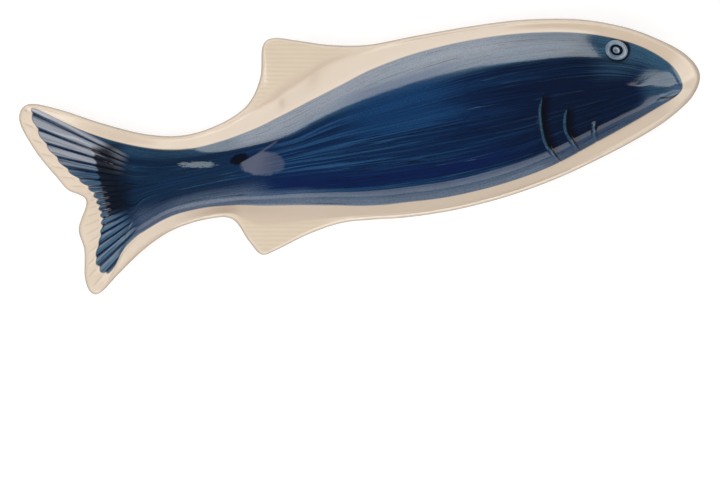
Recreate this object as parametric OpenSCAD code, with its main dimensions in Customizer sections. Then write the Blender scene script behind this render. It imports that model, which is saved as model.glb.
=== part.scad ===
// Fish shaped serving platter: one body of fired clay with a raised rim, a well,
// two flat fins and a fluted tail, on a low foot.
// The nose points along +X and the back fin along +Y. The middle of the foot's
// face, under the middle of the platter's box, is the origin.

/* [Platter] */
// Length from the tail to the nose
platter_l = 500; // [380:5:620]
// Width over the two fins
platter_w = 156; // [120:2:200]
// Height of the nose and of the lower tip of the tail
platter_h = 41.5; // [34:0.5:56]

/* [Clay] */
// Thickness of the clay under the deepest part of the well
floor_t = 6.4; // [4.5:0.1:9]
// Thickness of the rolled rim
lip_t = 5; // [3.5:0.1:7]
// Thickness of the two flat fins
fin_t = 4.2; // [3.2:0.1:6]

/* [Foot] */
// Height of the foot
foot_h = 4.6; // [3:0.1:7]
// Width of the foot's face
foot_w = 8; // [5:0.5:14]

/* [Glaze] */
// Thickness of the blue glaze
glaze_t = 0.4; // [0.3:0.05:0.8]

/* [Tail] */
// Number of flutes in the tail
flute_count = 18; // [9:1:20]
// Depth of the flutes
flute_depth = 0.9; // [0.4:0.1:1.4]

/* [Eye] */
// Outer diameter of the eye
eye_d = 17.6; // [14:0.2:24]
// Diameter of the hollow inside the eye ring
eye_hollow_d = 9.2; // [7:0.2:12]
// Diameter of the pupil
pupil_d = 6.2; // [3.5:0.1:6.6]
// Height of the eye ring and the pupil
eye_rise = 1.8; // [1:0.1:3]

/* [Gills and mouth] */
// Width of a gill ridge
gill_w = 3.6; // [2.4:0.1:5]
// Height of a gill ridge
gill_rise = 1.4; // [0.8:0.1:2.2]
// Width of the lip of the mouth
mouth_w = 2.6; // [1.8:0.1:4]
// Height of the lip of the mouth
mouth_rise = 0.9; // [0.5:0.1:1.6]

/* [Hidden] */

// Surface steps between two stations, and where the tail is fluted
station_steps = 4;
flute_steps = 10;
// Surface steps across one part of a cross-section
part_steps = 2;
// Steps down the outer wall
wall_steps = 4;

// Height of the deepest part of the well, and the height that is left above it
floor_z = foot_h + floor_t;
well_h = platter_h - floor_z;

// Each table below has one row for each station, from the nose to the notch of
// the tail. A place is a share of the length, from the tail, and a share of the
// width, from the belly fin. A rise is a share of the height above the well's
// floor, and on the underside above the foot.

// Outer edge of the platter: length share, width share, rise
back_edge_shares = [
    [1, 0.378, 0.965], [0.985, 0.487, 0.955], [0.945, 0.598, 0.905], [0.9, 0.686, 0.857],
    [0.84, 0.763, 0.8], [0.76, 0.819, 0.752], [0.68, 0.845, 0.708], [0.6, 0.859, 0.645],
    [0.53, 0.868, 0.65], [0.475, 0.908, 0.68], [0.43, 0.962, 0.71], [0.396, 0.9995, 0.75],
    [0.377, 0.972, 0.755], [0.363, 0.83, 0.63], [0.335, 0.718, 0.52], [0.29, 0.661, 0.425],
    [0.235, 0.646, 0.4], [0.18, 0.69, 0.49], [0.12, 0.787, 0.62], [0.06, 0.902, 0.66],
    [0.018, 0.956, 0.6], [0, 0.89, 0.575], [0.013, 0.73, 0.56], [0.036, 0.58, 0.54],
    [0.0475, 0.515, 0.53], [0.07, 0.447, 0.525]];
belly_edge_shares = [
    [1, 0.378, 0.965], [0.983, 0.283, 0.99], [0.945, 0.209, 0.995], [0.9, 0.154, 0.945],
    [0.84, 0.101, 0.85], [0.76, 0.045, 0.755], [0.68, 0.014, 0.705], [0.6, 0.008, 0.67],
    [0.53, 0.025, 0.65], [0.475, 0.053, 0.64], [0.43, 0.069, 0.64], [0.38, 0.052, 0.65],
    [0.33, 0.014, 0.7], [0.306, 0.0085, 0.73], [0.292, 0.085, 0.64], [0.275, 0.205, 0.52],
    [0.235, 0.231, 0.55], [0.185, 0.216, 0.67], [0.14, 0.161, 0.82], [0.095, 0.075, 0.95],
    [0.062, 0.005, 0.99], [0.047, 0.0155, 0.985], [0.043, 0.09, 0.89], [0.051, 0.22, 0.68],
    [0.05, 0.325, 0.59], [0.07, 0.447, 0.525]];

// Crest of the wall: share of the way from the edge to the glaze, and rise.
// It lies near the edge, except where a fin stands out from it
back_crest_shares = [
    [0.35, 0.94], [0.35, 0.93], [0.35, 0.9], [0.35, 0.83], [0.35, 0.775], [0.35, 0.715],
    [0.35, 0.66], [0.35, 0.59], [0.35, 0.6], [0.35, 0.63], [0.57, 0.625], [0.66, 0.61],
    [0.7, 0.58], [0.57, 0.53], [0.42, 0.455], [0.42, 0.385], [0.42, 0.365], [0.42, 0.46],
    [0.42, 0.595], [0.42, 0.645], [0.42, 0.59], [0.4, 0.565], [0.4, 0.55], [0.4, 0.525],
    [0.45, 0.515], [0.55, 0.51]];
belly_crest_shares = [
    [0.35, 0.94], [0.35, 0.955], [0.35, 0.95], [0.35, 0.9], [0.35, 0.8], [0.35, 0.695],
    [0.35, 0.65], [0.35, 0.615], [0.35, 0.6], [0.35, 0.595], [0.35, 0.59], [0.48, 0.585],
    [0.62, 0.575], [0.66, 0.56], [0.6, 0.53], [0.42, 0.485], [0.42, 0.51], [0.42, 0.625],
    [0.42, 0.775], [0.4, 0.905], [0.4, 0.955], [0.4, 0.95], [0.4, 0.855], [0.4, 0.665],
    [0.4, 0.575], [0.55, 0.51]];

// Edge of the blue glaze, part of the way down the wall
back_glaze_shares = [
    [0.972, 0.356, 0.78], [0.962, 0.45, 0.81], [0.93, 0.555, 0.79], [0.887, 0.637, 0.74],
    [0.83, 0.706, 0.69], [0.755, 0.757, 0.62], [0.68, 0.78, 0.54], [0.6, 0.778, 0.455],
    [0.53, 0.752, 0.405], [0.475, 0.708, 0.335], [0.43, 0.672, 0.305], [0.395, 0.643, 0.295],
    [0.375, 0.628, 0.29], [0.355, 0.612, 0.27], [0.33, 0.597, 0.255], [0.285, 0.58, 0.245],
    [0.235, 0.58, 0.27], [0.185, 0.617, 0.35], [0.13, 0.695, 0.48], [0.08, 0.795, 0.59],
    [0.027, 0.927, 0.58], [0.0195, 0.893, 0.56], [0.028, 0.765, 0.53], [0.05, 0.622, 0.505],
    [0.071, 0.53, 0.495], [0.0825, 0.462, 0.49]];
belly_glaze_shares = [
    [0.972, 0.356, 0.78], [0.963, 0.305, 0.8], [0.925, 0.262, 0.75], [0.885, 0.222, 0.7],
    [0.83, 0.172, 0.62], [0.755, 0.108, 0.52], [0.68, 0.078, 0.47], [0.6, 0.075, 0.44],
    [0.53, 0.097, 0.42], [0.475, 0.125, 0.4], [0.43, 0.16, 0.36], [0.38, 0.198, 0.31],
    [0.345, 0.222, 0.28], [0.32, 0.24, 0.26], [0.302, 0.255, 0.26], [0.28, 0.27, 0.28],
    [0.235, 0.287, 0.36], [0.19, 0.283, 0.48], [0.15, 0.248, 0.61], [0.115, 0.197, 0.74],
    [0.0865, 0.1, 0.84], [0.0715, 0.0885, 0.84], [0.0645, 0.163, 0.76], [0.078, 0.265, 0.6],
    [0.086, 0.35, 0.53], [0.0825, 0.462, 0.49]];

// Foot of the wall inside the well: share of the way from the glaze's edge to
// the keel, and rise
back_turn_shares = [
    [0.3, 0.64], [0.32, 0.615], [0.36, 0.52], [0.38, 0.42], [0.4, 0.33], [0.44, 0.225],
    [0.46, 0.15], [0.5, 0.07], [0.52, 0.045], [0.5, 0.035], [0.52, 0.025], [0.58, 0.02],
    [0.58, 0.02], [0.55, 0.03], [0.5, 0.05], [0.42, 0.095], [0.35, 0.2], [0.35, 0.295],
    [0.35, 0.41], [0.35, 0.505], [0.34, 0.51], [0.33, 0.495], [0.32, 0.48], [0.31, 0.47],
    [0.3, 0.465], [0.3, 0.46]];
belly_turn_shares = [
    [0.3, 0.64], [0.28, 0.59], [0.27, 0.48], [0.26, 0.33], [0.26, 0.2], [0.26, 0.11],
    [0.26, 0.08], [0.26, 0.05], [0.26, 0.04], [0.26, 0.03], [0.26, 0.03], [0.26, 0.03],
    [0.26, 0.035], [0.26, 0.045], [0.26, 0.06], [0.26, 0.11], [0.26, 0.21], [0.26, 0.31],
    [0.26, 0.43], [0.26, 0.56], [0.26, 0.65], [0.26, 0.65], [0.27, 0.6], [0.28, 0.51],
    [0.29, 0.475], [0.3, 0.46]];

// Keel: the line that the cross-sections share, along the floor of the well
keel_shares = [
    [0.925, 0.379, 0.43], [0.905, 0.384, 0.325], [0.88, 0.391, 0.23], [0.85, 0.4, 0.16],
    [0.8, 0.408, 0.1], [0.735, 0.418, 0.045], [0.67, 0.425, 0.012], [0.6, 0.43, 0],
    [0.53, 0.435, 0], [0.475, 0.44, 0], [0.435, 0.44, 0], [0.4, 0.44, 0],
    [0.375, 0.44, 0], [0.35, 0.44, 0], [0.32, 0.44, 0.005], [0.28, 0.44, 0.04],
    [0.235, 0.44, 0.115], [0.195, 0.44, 0.2], [0.168, 0.44, 0.275], [0.152, 0.44, 0.33],
    [0.142, 0.44, 0.37], [0.135, 0.44, 0.395], [0.128, 0.44, 0.415], [0.122, 0.44, 0.43],
    [0.118, 0.442, 0.44], [0.112, 0.444, 0.45]];

// Line on the underside where the outer wall ends: the foot's outer edge up to
// the heel station, and beyond it a line under the tail
heel = 16;
back_foot_shares = [
    [0.9, 0.385, 0], [0.892, 0.412, 0], [0.875, 0.446, 0], [0.845, 0.49, 0], [0.795, 0.542, 0],
    [0.725, 0.595, 0], [0.66, 0.62, 0], [0.595, 0.628, 0], [0.53, 0.618, 0], [0.477, 0.598, 0],
    [0.435, 0.577, 0], [0.4, 0.558, 0], [0.375, 0.546, 0], [0.35, 0.535, 0], [0.316, 0.521, 0],
    [0.278, 0.501, 0], [0.253, 0.464, 0], [0.205, 0.49, 0.15], [0.172, 0.52, 0.25], [0.15, 0.55, 0.33],
    [0.137, 0.56, 0.36], [0.13, 0.55, 0.37], [0.125, 0.53, 0.38], [0.12, 0.5, 0.39],
    [0.113, 0.475, 0.4], [0.103, 0.445, 0.41]];
belly_foot_shares = [
    [0.9, 0.385, 0], [0.89, 0.36, 0], [0.87, 0.338, 0], [0.838, 0.307, 0], [0.79, 0.262, 0],
    [0.725, 0.212, 0], [0.66, 0.178, 0], [0.595, 0.161, 0], [0.53, 0.167, 0], [0.477, 0.18, 0],
    [0.435, 0.196, 0], [0.4, 0.214, 0], [0.37, 0.233, 0], [0.345, 0.252, 0], [0.315, 0.278, 0],
    [0.278, 0.31, 0], [0.253, 0.355, 0], [0.205, 0.37, 0.15], [0.172, 0.35, 0.26], [0.15, 0.32, 0.36],
    [0.137, 0.31, 0.42], [0.13, 0.32, 0.42], [0.125, 0.35, 0.41], [0.12, 0.38, 0.4],
    [0.113, 0.41, 0.4], [0.103, 0.445, 0.41]];

// Middle line of the underside
under_keel_shares = [
    [0.865, 0.385, 0], [0.857, 0.386, 0], [0.842, 0.388, 0], [0.815, 0.392, 0], [0.77, 0.4, 0],
    [0.71, 0.405, 0], [0.65, 0.405, 0], [0.59, 0.405, 0], [0.53, 0.405, 0], [0.475, 0.405, 0],
    [0.435, 0.406, 0], [0.4, 0.407, 0], [0.372, 0.408, 0], [0.348, 0.409, 0], [0.318, 0.409, 0],
    [0.28, 0.41, 0], [0.246, 0.41, 0], [0.205, 0.425, 0.14], [0.172, 0.435, 0.24], [0.158, 0.438, 0.3],
    [0.15, 0.44, 0.33], [0.144, 0.44, 0.35], [0.138, 0.44, 0.365], [0.132, 0.44, 0.38],
    [0.126, 0.442, 0.39], [0.12, 0.443, 0.4]];

// How round the outer wall is at each station, and how much of a flat fin stands
// out from it
bulge_shares = [0, 0.05, 0.15, 0.3, 0.4, 0.5, 0.5, 0.5, 0.5, 0.5, 0.5, 0.5, 0.5, 0.5, 0.5,
                0.5, 0.4, 0.2, 0.1, 0, 0, 0, 0, 0, 0, 0];
back_fin_shares = [0, 0, 0, 0, 0, 0, 0, 0, 0.1, 0.6, 1, 1, 1, 1, 0.3,
                   0, 0, 0, 0, 0, 0, 0, 0, 0, 0, 0];
belly_fin_shares = [0, 0, 0, 0, 0, 0, 0, 0, 0, 0, 0.3, 0.8, 1, 1, 1,
                    0.2, 0, 0, 0, 0, 0, 0, 0, 0, 0, 0];

// Station where the flutes begin on each side, and how deep they are on the
// cream border
flute_from = 19;
flute_border_share = 0.3;
// Middle of the eye, and the lines of the gills and the mouth
eye_shares = [0.8885, 0.579];
rear_gill_shares = [[0.768, 0.456], [0.758, 0.371], [0.755, 0.273], [0.757, 0.203], [0.771, 0.109]];
middle_gill_shares = [[0.799, 0.368], [0.791, 0.302], [0.79, 0.238], [0.802, 0.136]];
front_gill_shares = [[0.833, 0.271], [0.829, 0.218], [0.828, 0.169]];
mouth_shares = [[0.929, 0.297], [0.945, 0.305], [0.962, 0.317]];
// Share of a ridge's length over which each of its ends sinks away, and the share
// of its width and rise that is left at the tip
ridge_end_share = 0.3;
ridge_tip_share = 0.2;
// Outlines of the eye ring, from the hollow outwards, and of the pupil, from the
// middle: shares of the band or the radius, and of the rise
ring_shares = [[0, 0], [0.12, 0.7], [0.35, 1], [0.65, 0.9], [0.88, 0.5], [1, 0]];
pupil_shares = [[0.5, 0.8], [0.85, 0.5], [1, 0], [0.5, 0]];

last = len(keel_shares) - 1;

// Value between two values, and on a smooth curve through four
function mix(a, b, t) = a + (b - a) * t;
function curve(a, b, c, d, t) =
    b + (c - a) * t / 2 + (2 * a - 5 * b + 4 * c - d) * t * t / 2
    + (3 * b - a - 3 * c + d) * t * t * t / 2;

// Tables that run once round the platter: along the back, then along the belly.
// A lap is a number of stations along that way round
function lap(back, belly) = concat(back, [for (k = [last - 1 : -1 : 1]) belly[k]]);
edge_shares = lap(back_edge_shares, belly_edge_shares);
crest_shares = lap(back_crest_shares, belly_crest_shares);
glaze_shares = lap(back_glaze_shares, belly_glaze_shares);
turn_shares = lap(back_turn_shares, belly_turn_shares);
foot_shares = lap(back_foot_shares, belly_foot_shares);
fin_shares = lap(back_fin_shares, belly_fin_shares);
roundness_shares = lap(bulge_shares, bulge_shares);

function round_trip(rows, s) =
    let (n = len(rows), k = floor(s), t = s - k)
    curve(rows[(k + n - 1) % n], rows[k % n], rows[(k + 1) % n], rows[(k + 2) % n], t);
function one_way(rows, s) =
    let (n = len(rows) - 1, k = min(floor(s), n - 1), t = s - k)
    curve(rows[max(k - 1, 0)], rows[k], rows[k + 1], rows[min(k + 2, n)], t);
function station(s) = s <= last ? s : 2 * last - s;

// Place of a row of a length share, a width share and a rise
function place(row, base, height) =
    [(row[0] - 1 / 2) * platter_l, (row[1] - 1 / 2) * platter_w, base + max(0, row[2]) * height];
function top_place(row) = place(row, floor_z, well_h);
function low_place(row) = place(row, foot_h, well_h);

// Direction into the platter, square to its edge, from a small step each way
probe = 1 / 8;
function inward(s) =
    let (a = top_place(round_trip(edge_shares, s + 2 * last - probe)),
         b = top_place(round_trip(edge_shares, s + probe)),
         d = b - a)
    [-d[1], d[0], 0] / norm([d[0], d[1]]);

// Lines of the upper surface, each at a place s round the platter
function edge_at(s) = top_place(round_trip(edge_shares, s));
function lip_at(s) = edge_at(s) + inward(s) * lip_t / 2;
function glaze_at(s) = top_place(round_trip(glaze_shares, s));
function keel_at(s) = top_place(one_way(keel_shares, station(s)));
function crest_at(s) =
    let (share = round_trip(crest_shares, s), flat = mix(edge_at(s), glaze_at(s), share[0]))
    [flat[0], flat[1], floor_z + share[1] * well_h];
function turn_at(s) =
    let (share = round_trip(turn_shares, s), flat = mix(glaze_at(s), keel_at(s), share[0]))
    [flat[0], flat[1], floor_z + share[1] * well_h];
function section(s) = [lip_at(s), crest_at(s), glaze_at(s), turn_at(s), keel_at(s)];

// Flutes of the tail: they grow from the root and fade on the cream border
flute_span = 2 * (last - flute_from);
function flute_wave(s) =
    let (at = (s - flute_from) / flute_span)
    at <= 0 || at >= 1 ? 0 : cos(360 * flute_count * at) * min(1, min(at, 1 - at) * flute_count);
function flute_fade(c) =
    c < 1 ? flute_border_share * c : c < 2 ? mix(flute_border_share, 1, c - 1) : min(1, 4 - c);
function flute_z(s, c) = flute_depth / 2 * flute_wave(s) * flute_fade(c);

// Upper surface at a lap s and a crossing c: 0 at the lip, 4 at the keel
function skin_at(s, c) =
    let (here = section(s), far = turn_at((2 * last - s) % (2 * last)),
         rows = concat([2 * here[0] - here[1]], here, [far]),
         k = min(floor(c), 3), t = c - k,
         p = curve(rows[k], rows[k + 1], rows[k + 2], rows[k + 3], t))
    p + [0, 0, flute_z(s, c)];

// Facet of the surface at a lap and a crossing, as the head is meshed
function facet_at(s, c) =
    let (u = floor(s * station_steps), v = floor(c * part_steps),
         near = mix(skin_at(u / station_steps, v / part_steps),
                    skin_at((u + 1) / station_steps, v / part_steps), s * station_steps - u),
         far = mix(skin_at(u / station_steps, (v + 1) / part_steps),
                   skin_at((u + 1) / station_steps, (v + 1) / part_steps), s * station_steps - u))
    mix(near, far, c * part_steps - v);

// Place on the surface of the head above a place of the plan, found by Newton's
// steps. Crossings run on past the keel, up to 8 at the far lip
first_guess = [4, 3.5];
crossing_limits = [1, 7];
settle_steps = 7;
function over_keel(s, c) = c <= 4 ? [s, c] : [2 * last - s, 8 - c];
function both_sides(s, c) = let (q = over_keel(s, c)) skin_at(q[0], q[1]);
function settle(goal, s, c, left) =
    left == 0 ? over_keel(s, c) :
    let (p = both_sides(s, c),
         ds = (both_sides(s + probe, c) - p) / probe,
         dc = (both_sides(s, c + probe) - p) / probe,
         e = goal - p,
         det = ds[0] * dc[1] - ds[1] * dc[0],
         next_s = s + (e[0] * dc[1] - e[1] * dc[0]) / det,
         next_c = c + (e[1] * ds[0] - e[0] * ds[1]) / det)
    settle(goal, min(last - 1, max(probe, next_s)),
           min(crossing_limits[1], max(crossing_limits[0], next_c)), left - 1);
function above(x, y) =
    let (q = settle([x, y, 0], first_guess[0], first_guess[1], settle_steps))
    facet_at(q[0], q[1]);

// Underside: from the lip, across a fin if there is one, and down the outer wall
// to the foot's edge
function fin_at(s) = min(1, max(0, round_trip(fin_shares, s)));
function edge_t(s) = mix(lip_t, fin_t, fin_at(s));
function low_edge_at(s) = edge_at(s) + inward(s) * lip_t / 4 - [0, 0, edge_t(s)];
function foot_at(s) = low_place(round_trip(foot_shares, s));
function wall_at(s, t) =
    let (fin = fin_at(s),
         head = mix(low_edge_at(s), crest_at(s) - [0, 0, fin_t], fin),
         foot = foot_at(s),
         first = 1 / wall_steps,
         way = mix(t, (t - first) / (1 - first), fin),
         bulge = round_trip(roundness_shares, s),
         across = mix(way, 1 - cos(90 * way), bulge),
         down = mix(way, sin(90 * way), bulge))
    [mix(head[0], foot[0], across), mix(head[1], foot[1], across), mix(head[2], foot[2], down)];
function under_keel_at(s) = low_place(one_way(under_keel_shares, station(s)));

// A closed skin: rings of points from the middle of the underside, round the
// rim, to the keel. Each middle line is shared by the two sides, and each patch
// is split along its shorter diagonal
function half_line(points) = [for (k = [0 : ring_steps / 2]) points[k]];
function skin_points(low, rings, high) = concat(half_line(low), [for (r = rings) each r], half_line(high));
function fold(i) = i <= ring_steps / 2 ? i : ring_steps - i;
function skin_index(row, rows, i) =
    let (n = i % ring_steps, half = ring_steps / 2 + 1)
    row == 0 ? fold(n) : row == rows + 1 ? half + rows * ring_steps + fold(n)
    : half + (row - 1) * ring_steps + n;
function skin_faces(points, rows) = [
    for (row = [0 : rows], i = [0 : ring_steps - 1])
        let (a = skin_index(row, rows, i), b = skin_index(row, rows, i + 1),
             c = skin_index(row + 1, rows, i + 1), d = skin_index(row + 1, rows, i))
        each norm(points[a] - points[c]) < norm(points[b] - points[d])
            ? [[a, c, b], [a, d, c]] : [[a, d, b], [b, d, c]]];
module skin(low, rings, high) {
    points = skin_points(low, rings, high);
    polyhedron(points = points, faces = skin_faces(points, len(rings)), convexity = 6);
}

function steps(from, to, n) = [for (i = [0 : (to - from) * n - 1]) from + i / n];
laps = concat(steps(0, flute_from, station_steps),
              steps(flute_from, 2 * last - flute_from, flute_steps),
              steps(2 * last - flute_from, 2 * last, station_steps));
ring_steps = len(laps);
function ring(c, lift) = [for (s = laps) skin_at(s, c) + [0, 0, lift]];
top_crossings = [for (i = [0 : 4 * part_steps - 1]) i / part_steps];
glaze_crossings = [for (i = [2 * part_steps : 4 * part_steps - 1]) i / part_steps];

module platter_body() {
    wall = [for (i = [wall_steps : -1 : 1]) [for (s = laps) wall_at(s, i / wall_steps)]];
    rim = [[for (s = laps) low_edge_at(s)], [for (s = laps) edge_at(s) - [0, 0, edge_t(s) / 2]]];
    top = [for (c = top_crossings) ring(c, 0)];
    color("#dcc7aa") skin([for (s = laps) under_keel_at(s)], concat(wall, rim, top), ring(4, 0));
}

// Inner edge of the foot's face: a foot's width in from the outer edge, or half
// way to the middle line where the foot is narrow. It stops short of the heel
heel_stations = 1 / 2;
function foot_inner_at(s) =
    let (a = foot_at(s), way = under_keel_at(s) - a)
    a + way * min(foot_w / norm(way), 1 / 2);
function flat(p) = [p[0], p[1]];
module foot_ring() {
    back = [for (i = [0 : heel * station_steps]) i / station_steps];
    belly = [for (i = [heel * station_steps : -1 : 1]) 2 * last - i / station_steps];
    toe = under_keel_at(heel);
    outer = concat([for (s = back) flat(foot_at(s))], [flat(toe)], [for (s = belly) flat(foot_at(s))]);
    inner = [for (s = concat(back, belly))
        if (min(s, 2 * last - s) <= heel - heel_stations) flat(foot_inner_at(s))];
    color("#cdb695") linear_extrude(height = foot_h) difference() {
        polygon(outer);
        polygon(inner);
    }
}

module blue_glaze() {
    coat = [for (c = glaze_crossings) ring(c, glaze_t)];
    clay = [for (i = [len(glaze_crossings) - 1 : -1 : 0]) ring(glaze_crossings[i], 0)];
    color("#17365e") skin(ring(4, 0), concat(clay, coat), ring(4, glaze_t));
}

// Raised ring or dot on the slope of the head: circles of a radius and a rise,
// square to the glazed surface. A dot is closed with a cap at each end
round_steps = 32;
module on_glaze(circles, capped) {
    x = (eye_shares[0] - 1 / 2) * platter_l;
    y = (eye_shares[1] - 1 / 2) * platter_w;
    middle = above(x, y);
    reach = eye_d / 4;
    slope_x = above(x + reach, y) - above(x - reach, y);
    slope_y = above(x, y + reach) - above(x, y - reach);
    out = cross(slope_x, slope_y) / norm(cross(slope_x, slope_y));
    right = cross([0, 1, 0], out) / norm(cross([0, 1, 0], out));
    ahead = cross(out, right);
    function spot(r, a, rise) =
        let (p = middle + r * (cos(a) * right + sin(a) * ahead))
        above(p[0], p[1]) + [0, 0, glaze_t] + rise * out;
    n = len(circles);
    m = round_steps;
    rings = [for (q = circles, i = [0 : m - 1]) spot(q[0], 360 * i / m, q[1])];
    poles = [spot(0, 0, circles[0][1]), spot(0, 0, circles[n - 1][1])];
    sides = [for (k = [0 : capped ? n - 2 : n - 1], i = [0 : m - 1])
        let (j = (i + 1) % m, u = (k + 1) % n,
             a = k * m + i, b = k * m + j, c = u * m + j, d = u * m + i)
        each [[a, b, c], [a, c, d]]];
    caps = [for (i = [0 : m - 1])
        let (j = (i + 1) % m)
        each [[n * m, j, i], [n * m + 1, (n - 1) * m + i, (n - 1) * m + j]]];
    polyhedron(points = capped ? concat(rings, poles) : rings,
               faces = capped ? concat(sides, caps) : sides, convexity = 4);
}

module eye_ring() {
    circles = [for (q = ring_shares) [mix(eye_hollow_d, eye_d, q[0]) / 2, q[1] * eye_rise]];
    color("#8fa0af") on_glaze(circles, false);
}

module eye_pupil() {
    circles = [for (q = pupil_shares) [q[0] * pupil_d / 2, q[1] * eye_rise]];
    color("#a8b4bc") on_glaze(circles, true);
}

// Ridge along a line of places, round on top, that sinks away at both ends
ridge_steps = 16;
side_steps = 4;
module ridge(line, width, rise) {
    function along(t) = one_way(line, t * (len(line) - 1));
    function swell(t) = sin(90 * min(1, min(t, 1 - t) / ridge_end_share));
    function across(t) =
        let (a = along(max(0, t - 1 / ridge_steps)), b = along(min(1, t + 1 / ridge_steps)),
             d = [(b[0] - a[0]) * platter_l, (b[1] - a[1]) * platter_w])
        [-d[1], d[0]] / norm(d);
    function bow(t) = mix(ridge_tip_share, 1, swell(t));
    function rib(t, u, lift) =
        let (p = along(t), n = across(t),
             x = (p[0] - 1 / 2) * platter_l + n[0] * width / 2 * u * bow(t),
             y = (p[1] - 1 / 2) * platter_w + n[1] * width / 2 * u * bow(t))
        above(x, y) + [0, 0, glaze_t + lift];
    around = concat([for (j = [0 : side_steps]) [cos(180 * j / side_steps), sin(180 * j / side_steps)]],
                    [[0, 0]]);
    n = len(around);
    points = [for (i = [0 : ridge_steps], q = around)
        rib(i / ridge_steps, q[0], q[1] * rise * bow(i / ridge_steps))];
    sides = [for (i = [0 : ridge_steps - 1], j = [0 : n - 1])
        let (k = (j + 1) % n, a = i * n + j, b = i * n + k, c = (i + 1) * n + k, d = (i + 1) * n + j)
        each [[a, c, b], [a, d, c]]];
    ends = [for (j = [1 : n - 2])
        each [[0, j, j + 1], [ridge_steps * n, ridge_steps * n + j + 1, ridge_steps * n + j]]];
    polyhedron(points = points, faces = concat(sides, ends), convexity = 4);
}

module rear_gill() {
    color("#1c3a64") ridge(rear_gill_shares, gill_w, gill_rise);
}
module middle_gill() {
    color("#1c3a64") ridge(middle_gill_shares, gill_w, gill_rise);
}
module front_gill() {
    color("#1c3a64") ridge(front_gill_shares, gill_w, gill_rise);
}
module mouth_lip() {
    color("#1c3a64") ridge(mouth_shares, mouth_w, mouth_rise);
}

platter_body();
foot_ring();
blue_glaze();
eye_ring();
eye_pupil();
rear_gill();
middle_gill();
front_gill();
mouth_lip();
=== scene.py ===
"""Fish shaped platter of glazed pottery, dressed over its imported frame.

The platter's surfaces are worked out from its sizes and from tables of shares, at a
finer step than in the solids, and every finish is a node material.
"""
import math

import bmesh
import bpy
import numpy as np
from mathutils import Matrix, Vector


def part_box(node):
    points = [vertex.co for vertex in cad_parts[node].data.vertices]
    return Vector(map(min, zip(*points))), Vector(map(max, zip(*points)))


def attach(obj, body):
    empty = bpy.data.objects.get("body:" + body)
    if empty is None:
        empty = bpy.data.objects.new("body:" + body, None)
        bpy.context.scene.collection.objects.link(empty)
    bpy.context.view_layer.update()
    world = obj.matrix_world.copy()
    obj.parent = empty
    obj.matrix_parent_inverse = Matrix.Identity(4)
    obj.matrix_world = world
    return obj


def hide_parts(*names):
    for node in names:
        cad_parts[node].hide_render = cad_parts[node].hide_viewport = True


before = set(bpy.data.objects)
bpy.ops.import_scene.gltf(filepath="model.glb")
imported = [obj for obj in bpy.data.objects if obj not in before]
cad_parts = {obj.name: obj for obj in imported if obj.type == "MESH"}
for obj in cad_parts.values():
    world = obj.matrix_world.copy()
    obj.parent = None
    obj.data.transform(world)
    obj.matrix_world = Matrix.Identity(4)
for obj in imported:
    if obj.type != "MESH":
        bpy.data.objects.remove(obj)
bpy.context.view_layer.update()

bl_info = {
    "name": "Fish shaped platter",
    "version": (1, 0, 0),
    "blender": (4, 5, 0),
    "location": "View3D > Sidebar > Platter",
    "description": "Makes a glazed fish shaped platter over its packed frame",
    "category": "Mesh",
}

BODY_LOW, BODY_HIGH = (np.array(corner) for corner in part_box("platter_body"))
BODY_SIZE = BODY_HIGH - BODY_LOW
FOOT_TOP = float(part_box("foot_ring")[1][2])

# Each table has one row for each station, from the nose to the notch of the tail.
# Rows hold a share of the length, a share of the width and a rise, which is a share
# of the height over the well's floor, or over the foot on the underside.
BACK_EDGE = [
    (1, .378, .965), (.985, .487, .955), (.945, .598, .905), (.9, .686, .857),
    (.84, .763, .8), (.76, .819, .752), (.68, .845, .708), (.6, .859, .645),
    (.53, .868, .65), (.475, .908, .68), (.43, .962, .71), (.396, .9995, .75),
    (.377, .972, .755), (.363, .83, .63), (.335, .718, .52), (.29, .661, .425),
    (.235, .646, .4), (.18, .69, .49), (.12, .787, .62), (.06, .902, .66),
    (.018, .956, .6), (0, .89, .575), (.013, .73, .56), (.036, .58, .54),
    (.0475, .515, .53), (.07, .447, .525)]
BELLY_EDGE = [
    (1, .378, .965), (.983, .283, .99), (.945, .209, .995), (.9, .154, .945),
    (.84, .101, .85), (.76, .045, .755), (.68, .014, .705), (.6, .008, .67),
    (.53, .025, .65), (.475, .053, .64), (.43, .069, .64), (.38, .052, .65),
    (.33, .014, .7), (.306, .0085, .73), (.292, .085, .64), (.275, .205, .52),
    (.235, .231, .55), (.185, .216, .67), (.14, .161, .82), (.095, .075, .95),
    (.062, .005, .99), (.047, .0155, .985), (.043, .09, .89), (.051, .22, .68),
    (.05, .325, .59), (.07, .447, .525)]
# Crest of the wall: share of the way from the edge to the glaze, and rise
BACK_CREST = [
    (.35, .94), (.35, .93), (.35, .9), (.35, .83), (.35, .775), (.35, .715),
    (.35, .66), (.35, .59), (.35, .6), (.35, .63), (.57, .625), (.66, .61),
    (.7, .58), (.57, .53), (.42, .455), (.42, .385), (.42, .365), (.42, .46),
    (.42, .595), (.42, .645), (.42, .59), (.4, .565), (.4, .55), (.4, .525),
    (.45, .515), (.55, .51)]
BELLY_CREST = [
    (.35, .94), (.35, .955), (.35, .95), (.35, .9), (.35, .8), (.35, .695),
    (.35, .65), (.35, .615), (.35, .6), (.35, .595), (.35, .59), (.48, .585),
    (.62, .575), (.66, .56), (.6, .53), (.42, .485), (.42, .51), (.42, .625),
    (.42, .775), (.4, .905), (.4, .955), (.4, .95), (.4, .855), (.4, .665),
    (.4, .575), (.55, .51)]
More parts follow.
